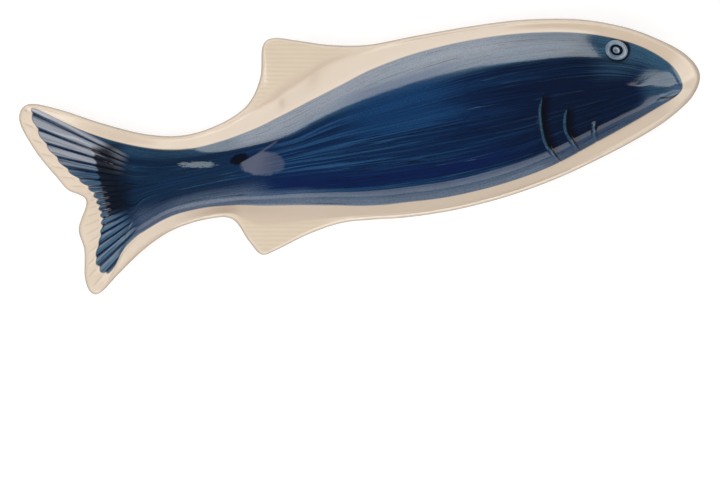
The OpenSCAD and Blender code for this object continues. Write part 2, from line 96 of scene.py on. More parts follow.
# Edge of the blue glaze
BACK_GLAZE = [
    (.972, .356, .78), (.962, .45, .81), (.93, .555, .79), (.887, .637, .74),
    (.83, .706, .69), (.755, .757, .62), (.68, .78, .54), (.6, .778, .455),
    (.53, .752, .405), (.475, .708, .335), (.43, .672, .305), (.395, .643, .295),
    (.375, .628, .29), (.355, .612, .27), (.33, .597, .255), (.285, .58, .245),
    (.235, .58, .27), (.185, .617, .35), (.13, .695, .48), (.08, .795, .59),
    (.027, .927, .58), (.0195, .893, .56), (.028, .765, .53), (.05, .622, .505),
    (.071, .53, .495), (.0825, .462, .49)]
BELLY_GLAZE = [
    (.972, .356, .78), (.963, .305, .8), (.925, .262, .75), (.885, .222, .7),
    (.83, .172, .62), (.755, .108, .52), (.68, .078, .47), (.6, .075, .44),
    (.53, .097, .42), (.475, .125, .4), (.43, .16, .36), (.38, .198, .31),
    (.345, .222, .28), (.32, .24, .26), (.302, .255, .26), (.28, .27, .28),
    (.235, .287, .36), (.19, .283, .48), (.15, .248, .61), (.115, .197, .74),
    (.0865, .1, .84), (.0715, .0885, .84), (.0645, .163, .76), (.078, .265, .6),
    (.086, .35, .53), (.0825, .462, .49)]
# Foot of the wall inside the well: share of the way to the keel, and rise
BACK_TURN = [
    (.3, .64), (.32, .615), (.36, .52), (.38, .42), (.4, .33), (.44, .225),
    (.46, .15), (.5, .07), (.52, .045), (.5, .035), (.52, .025), (.58, .02),
    (.58, .02), (.55, .03), (.5, .05), (.42, .095), (.35, .2), (.35, .295),
    (.35, .41), (.35, .505), (.34, .51), (.33, .495), (.32, .48), (.31, .47),
    (.3, .465), (.3, .46)]
BELLY_TURN = [
    (.3, .64), (.28, .59), (.27, .48), (.26, .33), (.26, .2), (.26, .11),
    (.26, .08), (.26, .05), (.26, .04), (.26, .03), (.26, .03), (.26, .03),
    (.26, .035), (.26, .045), (.26, .06), (.26, .11), (.26, .21), (.26, .31),
    (.26, .43), (.26, .56), (.26, .65), (.26, .65), (.27, .6), (.28, .51),
    (.29, .475), (.3, .46)]
KEEL = [
    (.925, .379, .43), (.905, .384, .325), (.88, .391, .23), (.85, .4, .16),
    (.8, .408, .1), (.735, .418, .045), (.67, .425, .012), (.6, .43, 0),
    (.53, .435, 0), (.475, .44, 0), (.435, .44, 0), (.4, .44, 0),
    (.375, .44, 0), (.35, .44, 0), (.32, .44, .005), (.28, .44, .04),
    (.235, .44, .115), (.195, .44, .2), (.168, .44, .275), (.152, .44, .33),
    (.142, .44, .37), (.135, .44, .395), (.128, .44, .415), (.122, .44, .43),
    (.118, .442, .44), (.112, .444, .45)]
# Line under the platter where the outer wall ends, and the middle of the underside
BACK_FOOT = [
    (.9, .385, 0), (.892, .412, 0), (.875, .446, 0), (.845, .49, 0), (.795, .542, 0),
    (.725, .595, 0), (.66, .62, 0), (.595, .628, 0), (.53, .618, 0), (.477, .598, 0),
    (.435, .577, 0), (.4, .558, 0), (.375, .546, 0), (.35, .535, 0), (.316, .521, 0),
    (.278, .501, 0), (.253, .464, 0), (.205, .49, .15), (.172, .52, .25), (.15, .55, .33),
    (.137, .56, .36), (.13, .55, .37), (.125, .53, .38), (.12, .5, .39),
    (.113, .475, .4), (.103, .445, .41)]
BELLY_FOOT = [
    (.9, .385, 0), (.89, .36, 0), (.87, .338, 0), (.838, .307, 0), (.79, .262, 0),
    (.725, .212, 0), (.66, .178, 0), (.595, .161, 0), (.53, .167, 0), (.477, .18, 0),
    (.435, .196, 0), (.4, .214, 0), (.37, .233, 0), (.345, .252, 0), (.315, .278, 0),
    (.278, .31, 0), (.253, .355, 0), (.205, .37, .15), (.172, .35, .26), (.15, .32, .36),
    (.137, .31, .42), (.13, .32, .42), (.125, .35, .41), (.12, .38, .4),
    (.113, .41, .4), (.103, .445, .41)]
UNDER_KEEL = [
    (.865, .385, 0), (.857, .386, 0), (.842, .388, 0), (.815, .392, 0), (.77, .4, 0),
    (.71, .405, 0), (.65, .405, 0), (.59, .405, 0), (.53, .405, 0), (.475, .405, 0),
    (.435, .406, 0), (.4, .407, 0), (.372, .408, 0), (.348, .409, 0), (.318, .409, 0),
    (.28, .41, 0), (.246, .41, 0), (.205, .425, .14), (.172, .435, .24), (.158, .438, .3),
    (.15, .44, .33), (.144, .44, .35), (.138, .44, .365), (.132, .44, .38),
    (.126, .442, .39), (.12, .443, .4)]
# How much the outer wall bulges, and how far the two fins stand out, at each station
BULGE = [0, .05, .15, .3, .4, .5, .5, .5, .5, .5, .5, .5, .5, .5, .5, .5,
         .4, .2, .1, 0, 0, 0, 0, 0, 0, 0]
BACK_FIN = [0, 0, 0, 0, 0, 0, 0, 0, .1, .6, 1, 1, 1, 1, .3, 0, 0, 0, 0, 0, 0, 0, 0, 0, 0, 0]
BELLY_FIN = [0, 0, 0, 0, 0, 0, 0, 0, 0, 0, .3, .8, 1, 1, 1, .2, 0, 0, 0, 0, 0, 0, 0, 0, 0, 0]
# Places of the raised details, as shares of the length and the width
EYE = (.8885, .579)
GILLS = {
    "rear_gill": [(.768, .456), (.758, .371), (.755, .273), (.757, .203), (.771, .109)],
    "middle_gill": [(.799, .368), (.791, .302), (.79, .238), (.802, .136)],
    "front_gill": [(.833, .271), (.829, .218), (.828, .169)],
}
MOUTH = [(.929, .297), (.945, .305), (.962, .317)]

# Point that the rays of the tail spread from, and the directions of the first and
# the last ray, in degrees over the line to the tail
RAY_CENTRE = (.217, .414)
RAY_FAN = (40.5, -37.5)

# The last station, and the number of stations once round the platter
LAST = len(KEEL) - 1
LAPS = 2 * LAST
# Stations where the foot ends and where the tail's flutes begin
HEEL = 16
FLUTE_FROM = 19
# Steps between two stations, along the body and in the tail
BODY_STEPS = 14
TAIL_STEPS = 28
# Crossings run from 0 on the lip over 1 on the crest, 2 at the edge of the glaze and
# 3 at the foot of the wall to 4 on the keel. The blue coat starts a little before 2.
SEAM = 1.8
KEEL_CROSSING = 4
# Depth of the coat's underside, and more of it where the flutes' rows are further apart
COAT_DEPTH = .0004
FLUTE_COAT_DEPTH = .0009
# Depth of the clay under the coat, and height over the table at which the wall ends
CLAY_DEPTH = .0014
WALL_END = .0006
# Rounding of the foot's lower edges, and thickness of the clay that runs down outside it
FOOT_ROUND = .0009
FOOT_SKIRT = .0015
# Share of the way down the outer wall at which the underside of a fin ends
FIN_SHARE = .25

# Cosine and sine of the turn of the fish in the photograph
VIEW_COS = .974
VIEW_SIN = .225
# Middle of the painted reflection, a pale patch in the blue glaze, in metres
PATCH = (-.0813, -.0105)
# Index of refraction of a lead glaze
GLAZE_IOR = 1.6


# Sizes, colours and lamps that a user may change


def half_mm(value):
    """A length in metres, rounded to half a millimetre."""
    return round(float(value) * 2000) / 2000


def measure(name, description, value):
    """A length setting with its default in metres."""
    return bpy.props.FloatProperty(
        name=name, description=description, unit="LENGTH", precision=4, default=value)


def strength(name, description, value):
    """A setting for the radiance of a lamp."""
    return bpy.props.FloatProperty(name=name, description=description, min=0, default=value)


def paint(name, description, shade):
    """A colour setting with its default as an sRGB hex such as 1c3a64."""
    parts = [int(shade[i:i + 2], 16) / 255 for i in (0, 2, 4)]
    linear = tuple(p / 12.92 if p <= .04045 else ((p + .055) / 1.055) ** 2.4 for p in parts)
    return bpy.props.FloatVectorProperty(
        name=name, description=description, subtype="COLOR", size=3, min=0, max=1, default=linear)


class PLATTER_PG_sizes(bpy.types.PropertyGroup):
    """Sizes of the platter."""

    length: measure("Length", "From the tail to the nose", half_mm(BODY_SIZE[0]))
    width: measure("Width", "Over the two fins", half_mm(BODY_SIZE[1]))
    height: measure("Height", "Height of the nose and of the lower tail tip", half_mm(BODY_HIGH[2]))
    foot_height: measure("Foot height", "Height of the foot under the clay", FOOT_TOP)
    floor: measure("Floor", "Thickness of the clay under the well", .0064)
    foot_width: measure("Foot width", "Width of the foot's face", .008)
    lip: measure("Rim", "Thickness of the rolled rim", .005)
    fin: measure("Fin", "Thickness of the two flat fins", .0042)
    flutes: bpy.props.IntProperty(name="Flutes", description="Number of flutes in the tail", default=18)
    flute_depth: measure("Flute depth", "Depth of the flutes", .0011)
    eye: measure("Eye", "Outer diameter of the eye ring", .0176)
    eye_hollow: measure("Eye hollow", "Diameter inside the eye ring", .0092)
    pupil: measure("Pupil", "Diameter of the pupil", .0062)
    eye_rise: measure("Eye rise", "Height of the eye ring", .0019)
    gill: measure("Gill", "Width of a gill ridge", .0036)
    gill_rise: measure("Gill rise", "Height of a gill ridge", .0015)
    mouth: measure("Mouth", "Width of the lip of the mouth", .0026)
    mouth_rise: measure("Mouth rise", "Height of the lip of the mouth", .001)


class PLATTER_PG_glazes(bpy.types.PropertyGroup):
    """Colours of the glazes and the clay."""

    cream: paint("Cream", "Cream glaze of the rim", "dfcebb")
    cream_shade: paint("Cream shade", "Cream glaze where it lies thicker", "dac9b5")
    slope: paint("Slope", "Cream glaze on the slopes beside the blue", "c8b49e")
    # Outer wall and Clay are also laid down the outer wall as painted shade, darkest near the foot
    wall: paint("Outer wall", "Thin glaze on the outer wall", "c6b19b")
    clay: paint("Clay", "Bare clay at the foot", "a8937c")
    # Thin line is laid as a darker outermost edge, partly thin glaze and partly painted shade; as painted
    # shade in the tail's grooves on the cream border and along the foot's lowest edge; and in fired specks
    line: paint("Thin line", "Where the glaze runs thin on the edge", "8c7d6e")
    fin: paint("Fin", "Cream glaze on the flat fins", "d0bfa5")
    navy: paint("Navy", "Blue glaze on the floor of the well", "07254b")
    peduncle: paint("Root of the body", "Blue glaze ahead of the tail", "10273f")
    streak: paint("Brush streak", "Strokes of the brush", "123c68")
    pale_streak: paint("Pale streak", "Strokes over the middle of the body", "2a5780")
    deep: paint("Deep blue", "Pooled glaze along the belly side", "071d4c")
    # Teal is laid partly as painted reflection on the wall of the back, and partly as a painted highlight
    # on the crests of the ridges
    teal: paint("Teal", "Blue glaze where it thins on the wall", "3c617a")
    # The ray colours pale the crests of the tail's rays and the lip of the mouth, partly thin glaze and
    # partly painted highlight
    ray: paint("Tail ray", "Glaze on a ray of the lower lobe", "5e7d94")
    pale_ray: paint("Upper ray", "Glaze on a ray of the upper lobe", "9a9ea6")
    groove: paint("Groove", "Glaze pooled in a groove", "061838")
    # The root colour is a painted dark reflection at the root of the tail and painted shade by the gills,
    # round the eye, down the ridges and in the mouth; it also darkens hair lines, the knot, specks and the
    # floor of the head
    root: paint("Tail root", "Darkest glaze at the root of the tail", "050916")
    # Pale blue also paints a reflection, the fleck nearer the tail
    pale: paint("Pale blue", "Thin glaze on raised details", "a3afb8")
    # A painted reflection of a lamp, a pale patch and line on the floor of the well
    painted_reflection: paint("Bloom", "Pale patch in the blue glaze", "666a7c")
    # Thin glaze is laid over the wall of the back as a painted reflection of a lamp
    thin: paint("Thin glaze", "Blue glaze so thin that the clay greys it", "75808e")
    # Belly wash is laid up the belly wall as a painted reflection of a lamp, over thinner glaze near the
    # edge; on the eye it is the glaze's own colour
    wash_and_reflection: paint("Belly wash", "Blue glaze on the wall of the belly", "76879b")
    # Haze is a painted reflection on the belly side ahead of the tail
    reflected_haze: paint("Haze", "Greyed glaze on the belly side ahead of the tail", "66748c")
    edge: paint("Blue edge", "Thin line of glaze where the blue ends", "5a6468")


class PLATTER_PG_stage(bpy.types.PropertyGroup):
    """Camera and lamps."""

    distance: measure("Camera height", "Height of the camera over the table", 6)
    view_width: measure("View width", "Width of the view at the rim", .5347)
    roll: bpy.props.FloatProperty(
        name="Roll", description="Turn of the fish in the view", unit="ROTATION", default=math.radians(13))
    belly_lamp: strength("Belly lamp", "Radiance of the softbox on the belly side", 3.1)
    back_lamp: strength("Back lamp", "Radiance of the wide softbox on the back side", 1.45)
    tail_lamp: strength("Tail lamp", "Radiance of the low softbox on the tail side", 2.8)
    fill: strength("Fill", "Radiance of the wide lamp above", 1.5)
    world: strength("World", "Strength of the world's light", .07)


# The platter's surfaces


def mix(a, b, t):
    """Value between a and b."""
    return a + (b - a) * t


def curve(a, b, c, d, t):
    """Catmull-Rom value between b and c."""
    return (b + (c - a) * t / 2 + (2 * a - 5 * b + 4 * c - d) * t * t / 2
            + (3 * b - a - 3 * c + d) * t ** 3 / 2)


def round_trip(rows, s):
    """Values of a table that runs once round the platter, at places s."""
    n = len(rows)
    k = np.floor(s).astype(int)
    t = (s - k)[:, None]
    return curve(rows[(k - 1) % n], rows[k % n], rows[(k + 1) % n], rows[(k + 2) % n], t)


def one_way(rows, s):
    """Values of a table that runs once from end to end, at places s."""
    n = len(rows) - 1
    k = np.clip(np.floor(s).astype(int), 0, n - 1)
    t = (s - k)[:, None]
    return curve(rows[np.maximum(k - 1, 0)], rows[k], rows[k + 1], rows[np.minimum(k + 2, n)], t)


def lap(back, belly):
    """One table that runs round the platter, along the back and then along the belly."""
    rows = list(back) + [belly[k] for k in range(LAST - 1, 0, -1)]
    return np.array([np.atleast_1d(np.array(row, float)) for row in rows])


def smooth(x, low, high):
    """Smooth step from 0 at low to 1 at high."""
    t = np.clip((x - low) / (high - low), 0, 1)
    return t * t * (3 - 2 * t)


class Form:
    """The platter's surfaces at any place s round it and crossing c towards its keel."""

    def __init__(self, sizes):
        self.sizes = sizes
        self.floor_z = sizes.foot_height + sizes.floor
        self.well = sizes.height - self.floor_z
        self.edge_rows = lap(BACK_EDGE, BELLY_EDGE)
        self.crest_rows = lap(BACK_CREST, BELLY_CREST)
        self.glaze_rows = lap(BACK_GLAZE, BELLY_GLAZE)
        self.turn_rows = lap(BACK_TURN, BELLY_TURN)
        self.foot_rows = lap(BACK_FOOT, BELLY_FOOT)
        self.fin_rows = lap(BACK_FIN, BELLY_FIN)
        self.bulge_rows = lap(BULGE, BULGE)

    def place(self, rows, base):
        """Points at shares of the length and the width, with their rise over a base."""
        return np.stack([(rows[:, 0] - .5) * self.sizes.length, (rows[:, 1] - .5) * self.sizes.width,
                         base + np.maximum(rows[:, 2], 0) * self.well], 1)

    def plan(self, share):
        """Place on the plan of a pair of shares."""
        return np.array([(share[0] - .5) * self.sizes.length, (share[1] - .5) * self.sizes.width])

    @staticmethod
    def station(s):
        """The station that a place lies at, on the back or on the belly."""
        return np.where(s <= LAST, s, LAPS - s)

    def edge(self, s):
        """Outline of the platter."""
        return self.place(round_trip(self.edge_rows, s), self.floor_z)

    def inward(self, s):
        """Direction on the plan from the outline into the platter."""
        d = self.edge(s + 1 / 8) - self.edge(s - 1 / 8)
        n = np.stack([-d[:, 1], d[:, 0], 0 * s], 1)
        return n / np.linalg.norm(n, axis=1)[:, None]

    def fin(self, s):
        """How far a fin stands out, from 0 to 1."""
        return np.clip(round_trip(self.fin_rows, s), 0, 1)

    def part_way(self, s, start, end, rows):
        """Points at a share of the way from one line to another, with their own rise."""
        share = round_trip(rows, s)
        p = mix(start, end, share[:, :1])
        p[:, 2] = self.floor_z + share[:, 1] * self.well
        return p

    def glaze(self, s):
        """Edge of the blue glaze."""
        return self.place(round_trip(self.glaze_rows, s), self.floor_z)

    def keel(self, s):
        """Line along the middle of the well's floor."""
        return self.place(one_way(np.array(KEEL, float), self.station(s)), self.floor_z)

    def turn(self, s):
        """Foot of the wall inside the well."""
        return self.part_way(s, self.glaze(s), self.keel(s), self.turn_rows)

    def lines(self, s):
        """The lines that a cross-section runs through, with one more at each end."""
        edge, glaze, keel = self.edge(s), self.glaze(s), self.keel(s)
        lip = edge + self.inward(s) * self.sizes.lip / 2
        crest = self.part_way(s, edge, glaze, self.crest_rows)
        far = self.turn((LAPS - s) % LAPS)
        return np.stack([2 * lip - crest, lip, crest, glaze, self.turn(s), keel, far])

    def rays(self, points):
        """Number of tail rays passed at each point, and how far they have grown there."""
        ahead = (RAY_CENTRE[0] - .5) * self.sizes.length - points[..., 0]
        side = points[..., 1] - (RAY_CENTRE[1] - .5) * self.sizes.width
        turned = (RAY_FAN[0] - np.degrees(np.arctan2(side, ahead))) / (RAY_FAN[0] - RAY_FAN[1])
        reach = np.hypot(ahead, side) / self.sizes.length
        inside = smooth(turned, -.02, .01) * smooth(turned, 1.02, .99)
        return turned * self.sizes.flutes, inside * smooth(reach, .088, .118)

    def top(self, s, c):
        """Upper surface at each pair of a place and a crossing."""
        lines = self.lines(s)
        k = np.clip(np.floor(c).astype(int), 0, KEEL_CROSSING - 1)
        t = (c - k)[:, None]
        i = np.arange(len(s))
        p = curve(lines[k, i], lines[k + 1, i], lines[k + 2, i], lines[k + 3, i], t)
        phase, grown = self.rays(p)
        rib = np.abs(np.cos(np.pi * phase)) ** .7 - .55
        into_well = np.clip(KEEL_CROSSING - c, 0, 1)
        fade = np.where(c < 1, .25 * c, np.where(c < 2, mix(.25, 1, c - 1), into_well))
        p[:, 2] += self.sizes.flute_depth * rib * grown * fade
        return p

    def over_foot(self, s):
        """1 where the platter lies over its foot, and 0 beyond the heel."""
        return 1 - smooth(self.station(s), HEEL - .15, HEEL + .2)

    def under_foot(self, s):
        """Outer edge of the foot, and the line under the tail beyond the heel."""
        p = self.place(round_trip(self.foot_rows, s), self.sizes.foot_height)
        p[:, 2] -= self.over_foot(s) * (self.sizes.foot_height - WALL_END)
        return p

    def under_keel(self, s):
        """Line along the middle of the underside."""
        return self.place(one_way(np.array(UNDER_KEEL, float), self.station(s)), self.sizes.foot_height)

    def tuck(self, s):
        """Inner line of the clay outside the foot, at the height of the underside."""
        keel, outer = self.under_keel(s), self.under_foot(s)
        reach = np.linalg.norm(keel - outer, axis=1)
        line = outer + (keel - outer) * np.minimum(FOOT_SKIRT / reach, .3)[:, None]
        line[:, 2] = mix(line[:, 2], self.sizes.foot_height, self.over_foot(s))
        return line

    def wall(self, s, t):
        """Outer wall, from the rim at t 0 over the underside of a fin to the foot at t 1."""
        fin = self.fin(s)
        rim = self.edge(s) + self.inward(s) * self.sizes.lip / 4
        rim[:, 2] -= mix(self.sizes.lip, self.sizes.fin, fin[:, 0])
        under_crest = self.lines(s)[2] - [0, 0, self.sizes.fin]
        head = mix(rim, under_crest, fin)
        foot = self.under_foot(s)
        bulge = round_trip(self.bulge_rows, s)

        def down(start, way):
            across = mix(way, 1 - math.cos(math.pi / 2 * way), bulge)
            fall = mix(way, math.sin(math.pi / 2 * way), bulge)
            flat = mix(start, foot, across)
            flat[:, 2] = mix(start[:, 2], foot[:, 2], fall[:, 0])
            return flat

        def below_fin(t):
            return mix(down(head, t), down(head, (t - FIN_SHARE) / (1 - FIN_SHARE)), fin)

        if t >= FIN_SHARE:
            return below_fin(t)
        way = t / FIN_SHARE
        chord = mix(rim, down(rim, FIN_SHARE), way)
        return mix(rim, below_fin(FIN_SHARE), way) + (down(rim, t) - chord) * (1 - fin)

    def rolled_rim(self, s, wall_top):
        """Rows up the rolled rim, from its underside over its outermost line to its lip."""
        thickness = mix(self.sizes.lip, self.sizes.fin, self.fin(s))
        middle = self.edge(s) - [0, 0, 1] * thickness / 2
        lines = [wall_top, self.wall(s, 0), middle, self.lines(s)[1], self.top(s, np.full(len(s), .25))]
        rows = []
        for k, steps in ((0, 4), (1, 5)):
            rows += [curve(*lines[k:k + 4], t) for t in np.linspace(0, 1, steps, endpoint=False)]
        return rows


def places_round():
    """Places round the platter, closer together where the tail is fluted."""
    stretches = ((0, FLUTE_FROM, BODY_STEPS), (FLUTE_FROM, LAPS - FLUTE_FROM, TAIL_STEPS),
                 (LAPS - FLUTE_FROM, LAPS, BODY_STEPS))
    parts = [np.arange(0, (end - start) * steps) / steps + start for start, end, steps in stretches]
    return np.append(np.concatenate(parts), LAPS)


# Meshes


def sheet_mesh(name, points, marks, sharp_row=None):
    """Mesh from a bmesh grid whose vertices are moved onto rows of points, with a float
    attribute for each of marks and a UV map made from the marks u and v."""
    rows, columns = points.shape[:2]
    bm = bmesh.new()
    bmesh.ops.create_grid(bm, x_segments=columns - 1, y_segments=rows - 1, size=1)
    bm.verts.ensure_lookup_table()
    layers = {key: bm.verts.layers.float.new(key) for key in marks}
    for vert, place in zip(bm.verts, points.reshape(-1, 3)):
        vert.co = place
    for key, layer in layers.items():
        for vert, value in zip(bm.verts, marks[key].reshape(-1)):
            vert[layer] = value
    uv = bm.loops.layers.uv.new("fish")
    for face in bm.faces:
        face.smooth = True
        for loop in face.loops:
            loop[uv].uv = (loop.vert[layers["u"]], loop.vert[layers["v"]])
    for edge in bm.edges:
        if {v.index // columns for v in edge.verts} == {sharp_row}:
            edge.smooth = False
    bmesh.ops.remove_doubles(bm, verts=bm.verts, dist=1e-6)
    bmesh.ops.dissolve_degenerate(bm, edges=bm.edges, dist=1e-7)
    if bm.calc_volume(signed=True) < 0:
        bmesh.ops.reverse_faces(bm, faces=bm.faces)
    return finish_mesh(name, bm)


def finish_mesh(name, bm):
    """An object at the origin that holds a bmesh."""
    mesh = bpy.data.meshes.new(name)
    bm.to_mesh(mesh)
    bm.free()
    piece = bpy.data.objects.new(name, mesh)
    bpy.context.scene.collection.objects.link(piece)
    return piece


def in_rows(values, columns):
    """A mark with one value for each row."""
    return np.repeat(values[:, None], columns, 1)


def in_columns(values, rows):
    """A mark with one value for each column."""
    return np.repeat(values[None, :], rows, 0)


def marks_of(form, s, c, points):
    """Marks of a surface: place along and across the fish, and what its patterns follow."""
    rows = len(points)
    station = form.station(s)
    hand = np.where(s <= LAST, 1, -1) * smooth(station, 0, 1.6) * smooth(LAST - station, 0, .8)
    phase, grown = form.rays(points)
    return {
        "u": points[:, :, 0] / form.sizes.length + .5,
        "v": hand[None, :] * (KEEL_CROSSING - np.clip(c, 0, None)[:, None]) / KEEL_CROSSING,
        "phase": phase,
        "fluted": grown,
        "hand": in_columns(hand, rows),
        "fin": in_columns(form.fin(s)[:, 0], rows),
        "crossing": in_rows(c, len(s)),
    }


def along_section(points, row):
    """Distance along each cross-section from a row of points, negative before it."""
    step = np.linalg.norm(np.diff(points, axis=0), axis=2)
    total = np.concatenate([np.zeros((1, points.shape[1])), np.cumsum(step, 0)])
    return total - total[row]


def surface(form, s, crossings):
    """Rows of points of the upper surface, one for each crossing."""
    return np.array([form.top(s, np.full(len(s), c)) for c in crossings])


# Shader maths


def reckon(operation, reflected=False):
    """A method that adds one Math node for an arithmetic operator."""
    def method(self, other):
        return self.look.math(operation, *((other, self) if reflected else (self, other)))
    return method


class Wire:
    """One value in a node tree. Arithmetic on it adds Math nodes."""

    def __init__(self, look, socket):
        self.look, self.socket = look, socket

    __add__ = reckon("ADD")
    __radd__ = reckon("ADD", reflected=True)
    __sub__ = reckon("SUBTRACT")
    __rsub__ = reckon("SUBTRACT", reflected=True)
    __mul__ = reckon("MULTIPLY")
    __rmul__ = reckon("MULTIPLY", reflected=True)
    __truediv__ = reckon("DIVIDE")
    __rtruediv__ = reckon("DIVIDE", reflected=True)

    def __abs__(self):
        return self.look.math("ABSOLUTE", self)


class Look:
    """A material under construction, with the glazes' colours g and the colour laid so far."""

    def __init__(self, name, glazes):
        self.g = glazes
        self.colour = None
        self.material = bpy.data.materials.new(name)
        self.material.use_nodes = True
        self.tree = self.material.node_tree
        self.tree.nodes.clear()

    def node(self, kind, settings=None, inputs=None, output=0):
        """Adds a node, sets it, feeds its sockets and gives one of its outputs, if it has any."""
        node = self.tree.nodes.new(kind)
        for key, value in (settings or {}).items():
            setattr(node, key, value)
        for key, value in (inputs or {}).items():
            socket = node.inputs[key]
            if isinstance(value, Wire):
                self.tree.links.new(value.socket, socket)
            elif socket.type == "RGBA":
                socket.default_value = (*value, 1)
            else:
                socket.default_value = value
        return Wire(self, node.outputs[output]) if node.outputs else None

    def math(self, operation, *values):
        return self.node("ShaderNodeMath", {"operation": operation}, dict(enumerate(values)))

    def step(self, value, low, high):
        """Smooth step from 0 at low to 1 at high. Low may lie above high."""
        return self.node("ShaderNodeMapRange", {"interpolation_type": "SMOOTHSTEP", "clamp": True},
                         {"Value": value, "From Min": low, "From Max": high})

    def band(self, value, start, full, last, end):
        """1 from full to last, with smooth steps from 0 at start and to 0 at end."""
        return self.step(value, start, full) * self.step(value, end, last)

    def thread(self, value, centre, edge, core):
        """1 where a value is within core of a centre, and 0 where it is further off than edge."""
        return self.step(abs(value - centre), edge, core)

    def spot(self, x, y, at, size, ragged=0):
        """1 inside an ellipse on the plan, in metres, with a ragged edge, and 0 outside it."""
        dx, dy = (x - at[0]) / size[0], (y - at[1]) / size[1]
        return self.step(dx * dx + dy * dy + ragged, 1.25, .75)

    def blend(self, factor, a, b):
        """Colour a where the factor is 0, b where it is 1."""
        return self.node("ShaderNodeMix", {"data_type": "RGBA", "blend_type": "MIX", "clamp_factor": True},
                         {0: factor, 6: a, 7: b}, output=2)

    def lay(self, factor, shade):
        """Lays a shade over the colour so far."""
        self.colour = self.blend(factor, self.colour, shade)

    def mark(self, name):
        """The wire of one of the mesh's own attributes."""
        settings = {"attribute_type": "GEOMETRY", "attribute_name": name}
        return self.node("ShaderNodeAttribute", settings, output=2)

    def marks(self, *names):
        return [self.mark(name) for name in names]

    def place(self):
        """Object coordinates, and their X, Y and Z."""
        at = self.node("ShaderNodeTexCoord", output=3)
        split = self.node("ShaderNodeSeparateXYZ", None, {0: at})
        return at, [Wire(self, socket) for socket in split.socket.node.outputs]

    def vector(self, x, y, z=0):
        return self.node("ShaderNodeCombineXYZ", None, {0: x, 1: y, 2: z})

    def noise(self, at, scale, detail=2.0, roughness=.5):
        return self.node("ShaderNodeTexNoise", {"noise_dimensions": "3D"},
                         {"Vector": at, "Scale": scale, "Detail": detail, "Roughness": roughness})

    def ridge(self, phase):
        """1 on the crest of each ray and 0 in each groove."""
        return abs(self.math("COSINE", phase * math.pi))

    def specks(self, at, scale, radius, patches, rare):
        """Fired specks of a radius below 1, in the few patches where a coarse noise passes rare."""
        speck = self.node("ShaderNodeTexVoronoi", {"feature": "F1"}, {"Vector": at, "Scale": scale})
        return self.step(speck, radius, .04) * self.step(self.noise(at, patches, 0), rare, rare + .03)

    def bump(self, height, distance, strength, normal=None):
        """Normal bent by a height, over a normal that is bent already."""
        inputs = {"Height": height, "Distance": distance, "Strength": strength}
        if normal:
            inputs["Normal"] = normal
        return self.node("ShaderNodeBump", None, inputs)

    def finish(self, **sockets):
        """Ends the material in one Principled shader, with the colour laid so far."""
        inputs = {key.replace("_", " "): value for key, value in sockets.items()}
        shader = self.node("ShaderNodeBsdfPrincipled", None, {"Base Color": self.colour, **inputs})
        self.node("ShaderNodeOutputMaterial", None, {"Surface": shader})
        return self.material


def in_view(x, y):
    """Places on the plan along and across the photograph's own frame."""
    return x * VIEW_COS - y * VIEW_SIN, x * VIEW_SIN + y * VIEW_COS


def on_slopes(look, x, crossing, hand, shade):
    """A cream shade, deeper on the slopes beside the blue than at the nose and the tail."""
    back = look.step(hand, -.1, .1)
    slope = look.step(crossing, .7, 1.1) * look.step(x, -.17, -.13) * look.step(x - .02 * back, .235, .215)
    tail = look.band(x, -.225, -.19, -.15, -.09) * .3
    return look.blend(look.math("MAXIMUM", slope * (1 - .35 * back), tail), shade, look.g.slope)


def cream_finish(g):
    """Cream glaze of the rim, fins and outer wall."""
    look = Look("cream_coat", g)
    at, (x, y, _) = look.place()
    crossing, lip, wall, fin, phase, fluted, hand = look.marks(
        "crossing", "lip_m", "wall", "fin", "phase", "fluted", "hand")
    cloud = look.noise(at, 14, 3, .55)
    mottle = look.noise(at, 160, 3, .6)
    ground = look.blend(look.step(cloud * .8 + mottle * .2, .38, .62), g.cream, g.cream_shade)
    look.colour = on_slopes(look, x, crossing, hand, ground)
    # Low ribs that the mould leaves on both fins
    flat = look.step(crossing, 1.0, .7) * look.step(crossing, -.5, 0) * look.step(fin, .05, .7)
    rib = look.math("SINE", in_view(x, y)[1] * 1950 + (cloud - .5) * 3)
    look.lay(flat * (.55 + .2 * rib), g.fin)
    # Painted shade down the outer wall, deepest towards the foot, and a darker line along the outermost
    # edge, partly thin glaze and partly painted shade
    look.lay(look.step(wall, 0, .2) * .85, g.wall)
    look.lay(look.step(wall + (cloud - .5) * .35, .4, 1.0) * .75, g.clay)
    thin = look.step(lip + (mottle - .5) * .001, .0026, .0008) * look.step(lip, -.003, -.001)
    look.lay(thin * .55, g.line)
    # Rays of the tail run out over its cream border, as painted shade in their grooves
    look.lay(look.step(look.ridge(phase), .45, 0) * fluted * look.step(crossing, .2, 1.2) * .22, g.line)
    look.lay(look.specks(at, 75, .07, 41, .69) * .55, g.line)
    peel = look.bump(look.noise(at, 700, 2, .6), .00003, .5)
    normal = look.bump(look.noise(at, 26, 1), .0004, .06, peel)
    normal = look.bump(flat * rib, .0001, .35, normal)
    rough = .13 + .1 * look.noise(at, 90, 2) + .2 * look.step(wall, .2, 1)
    return look.finish(Roughness=rough, Normal=normal, IOR=GLAZE_IOR)


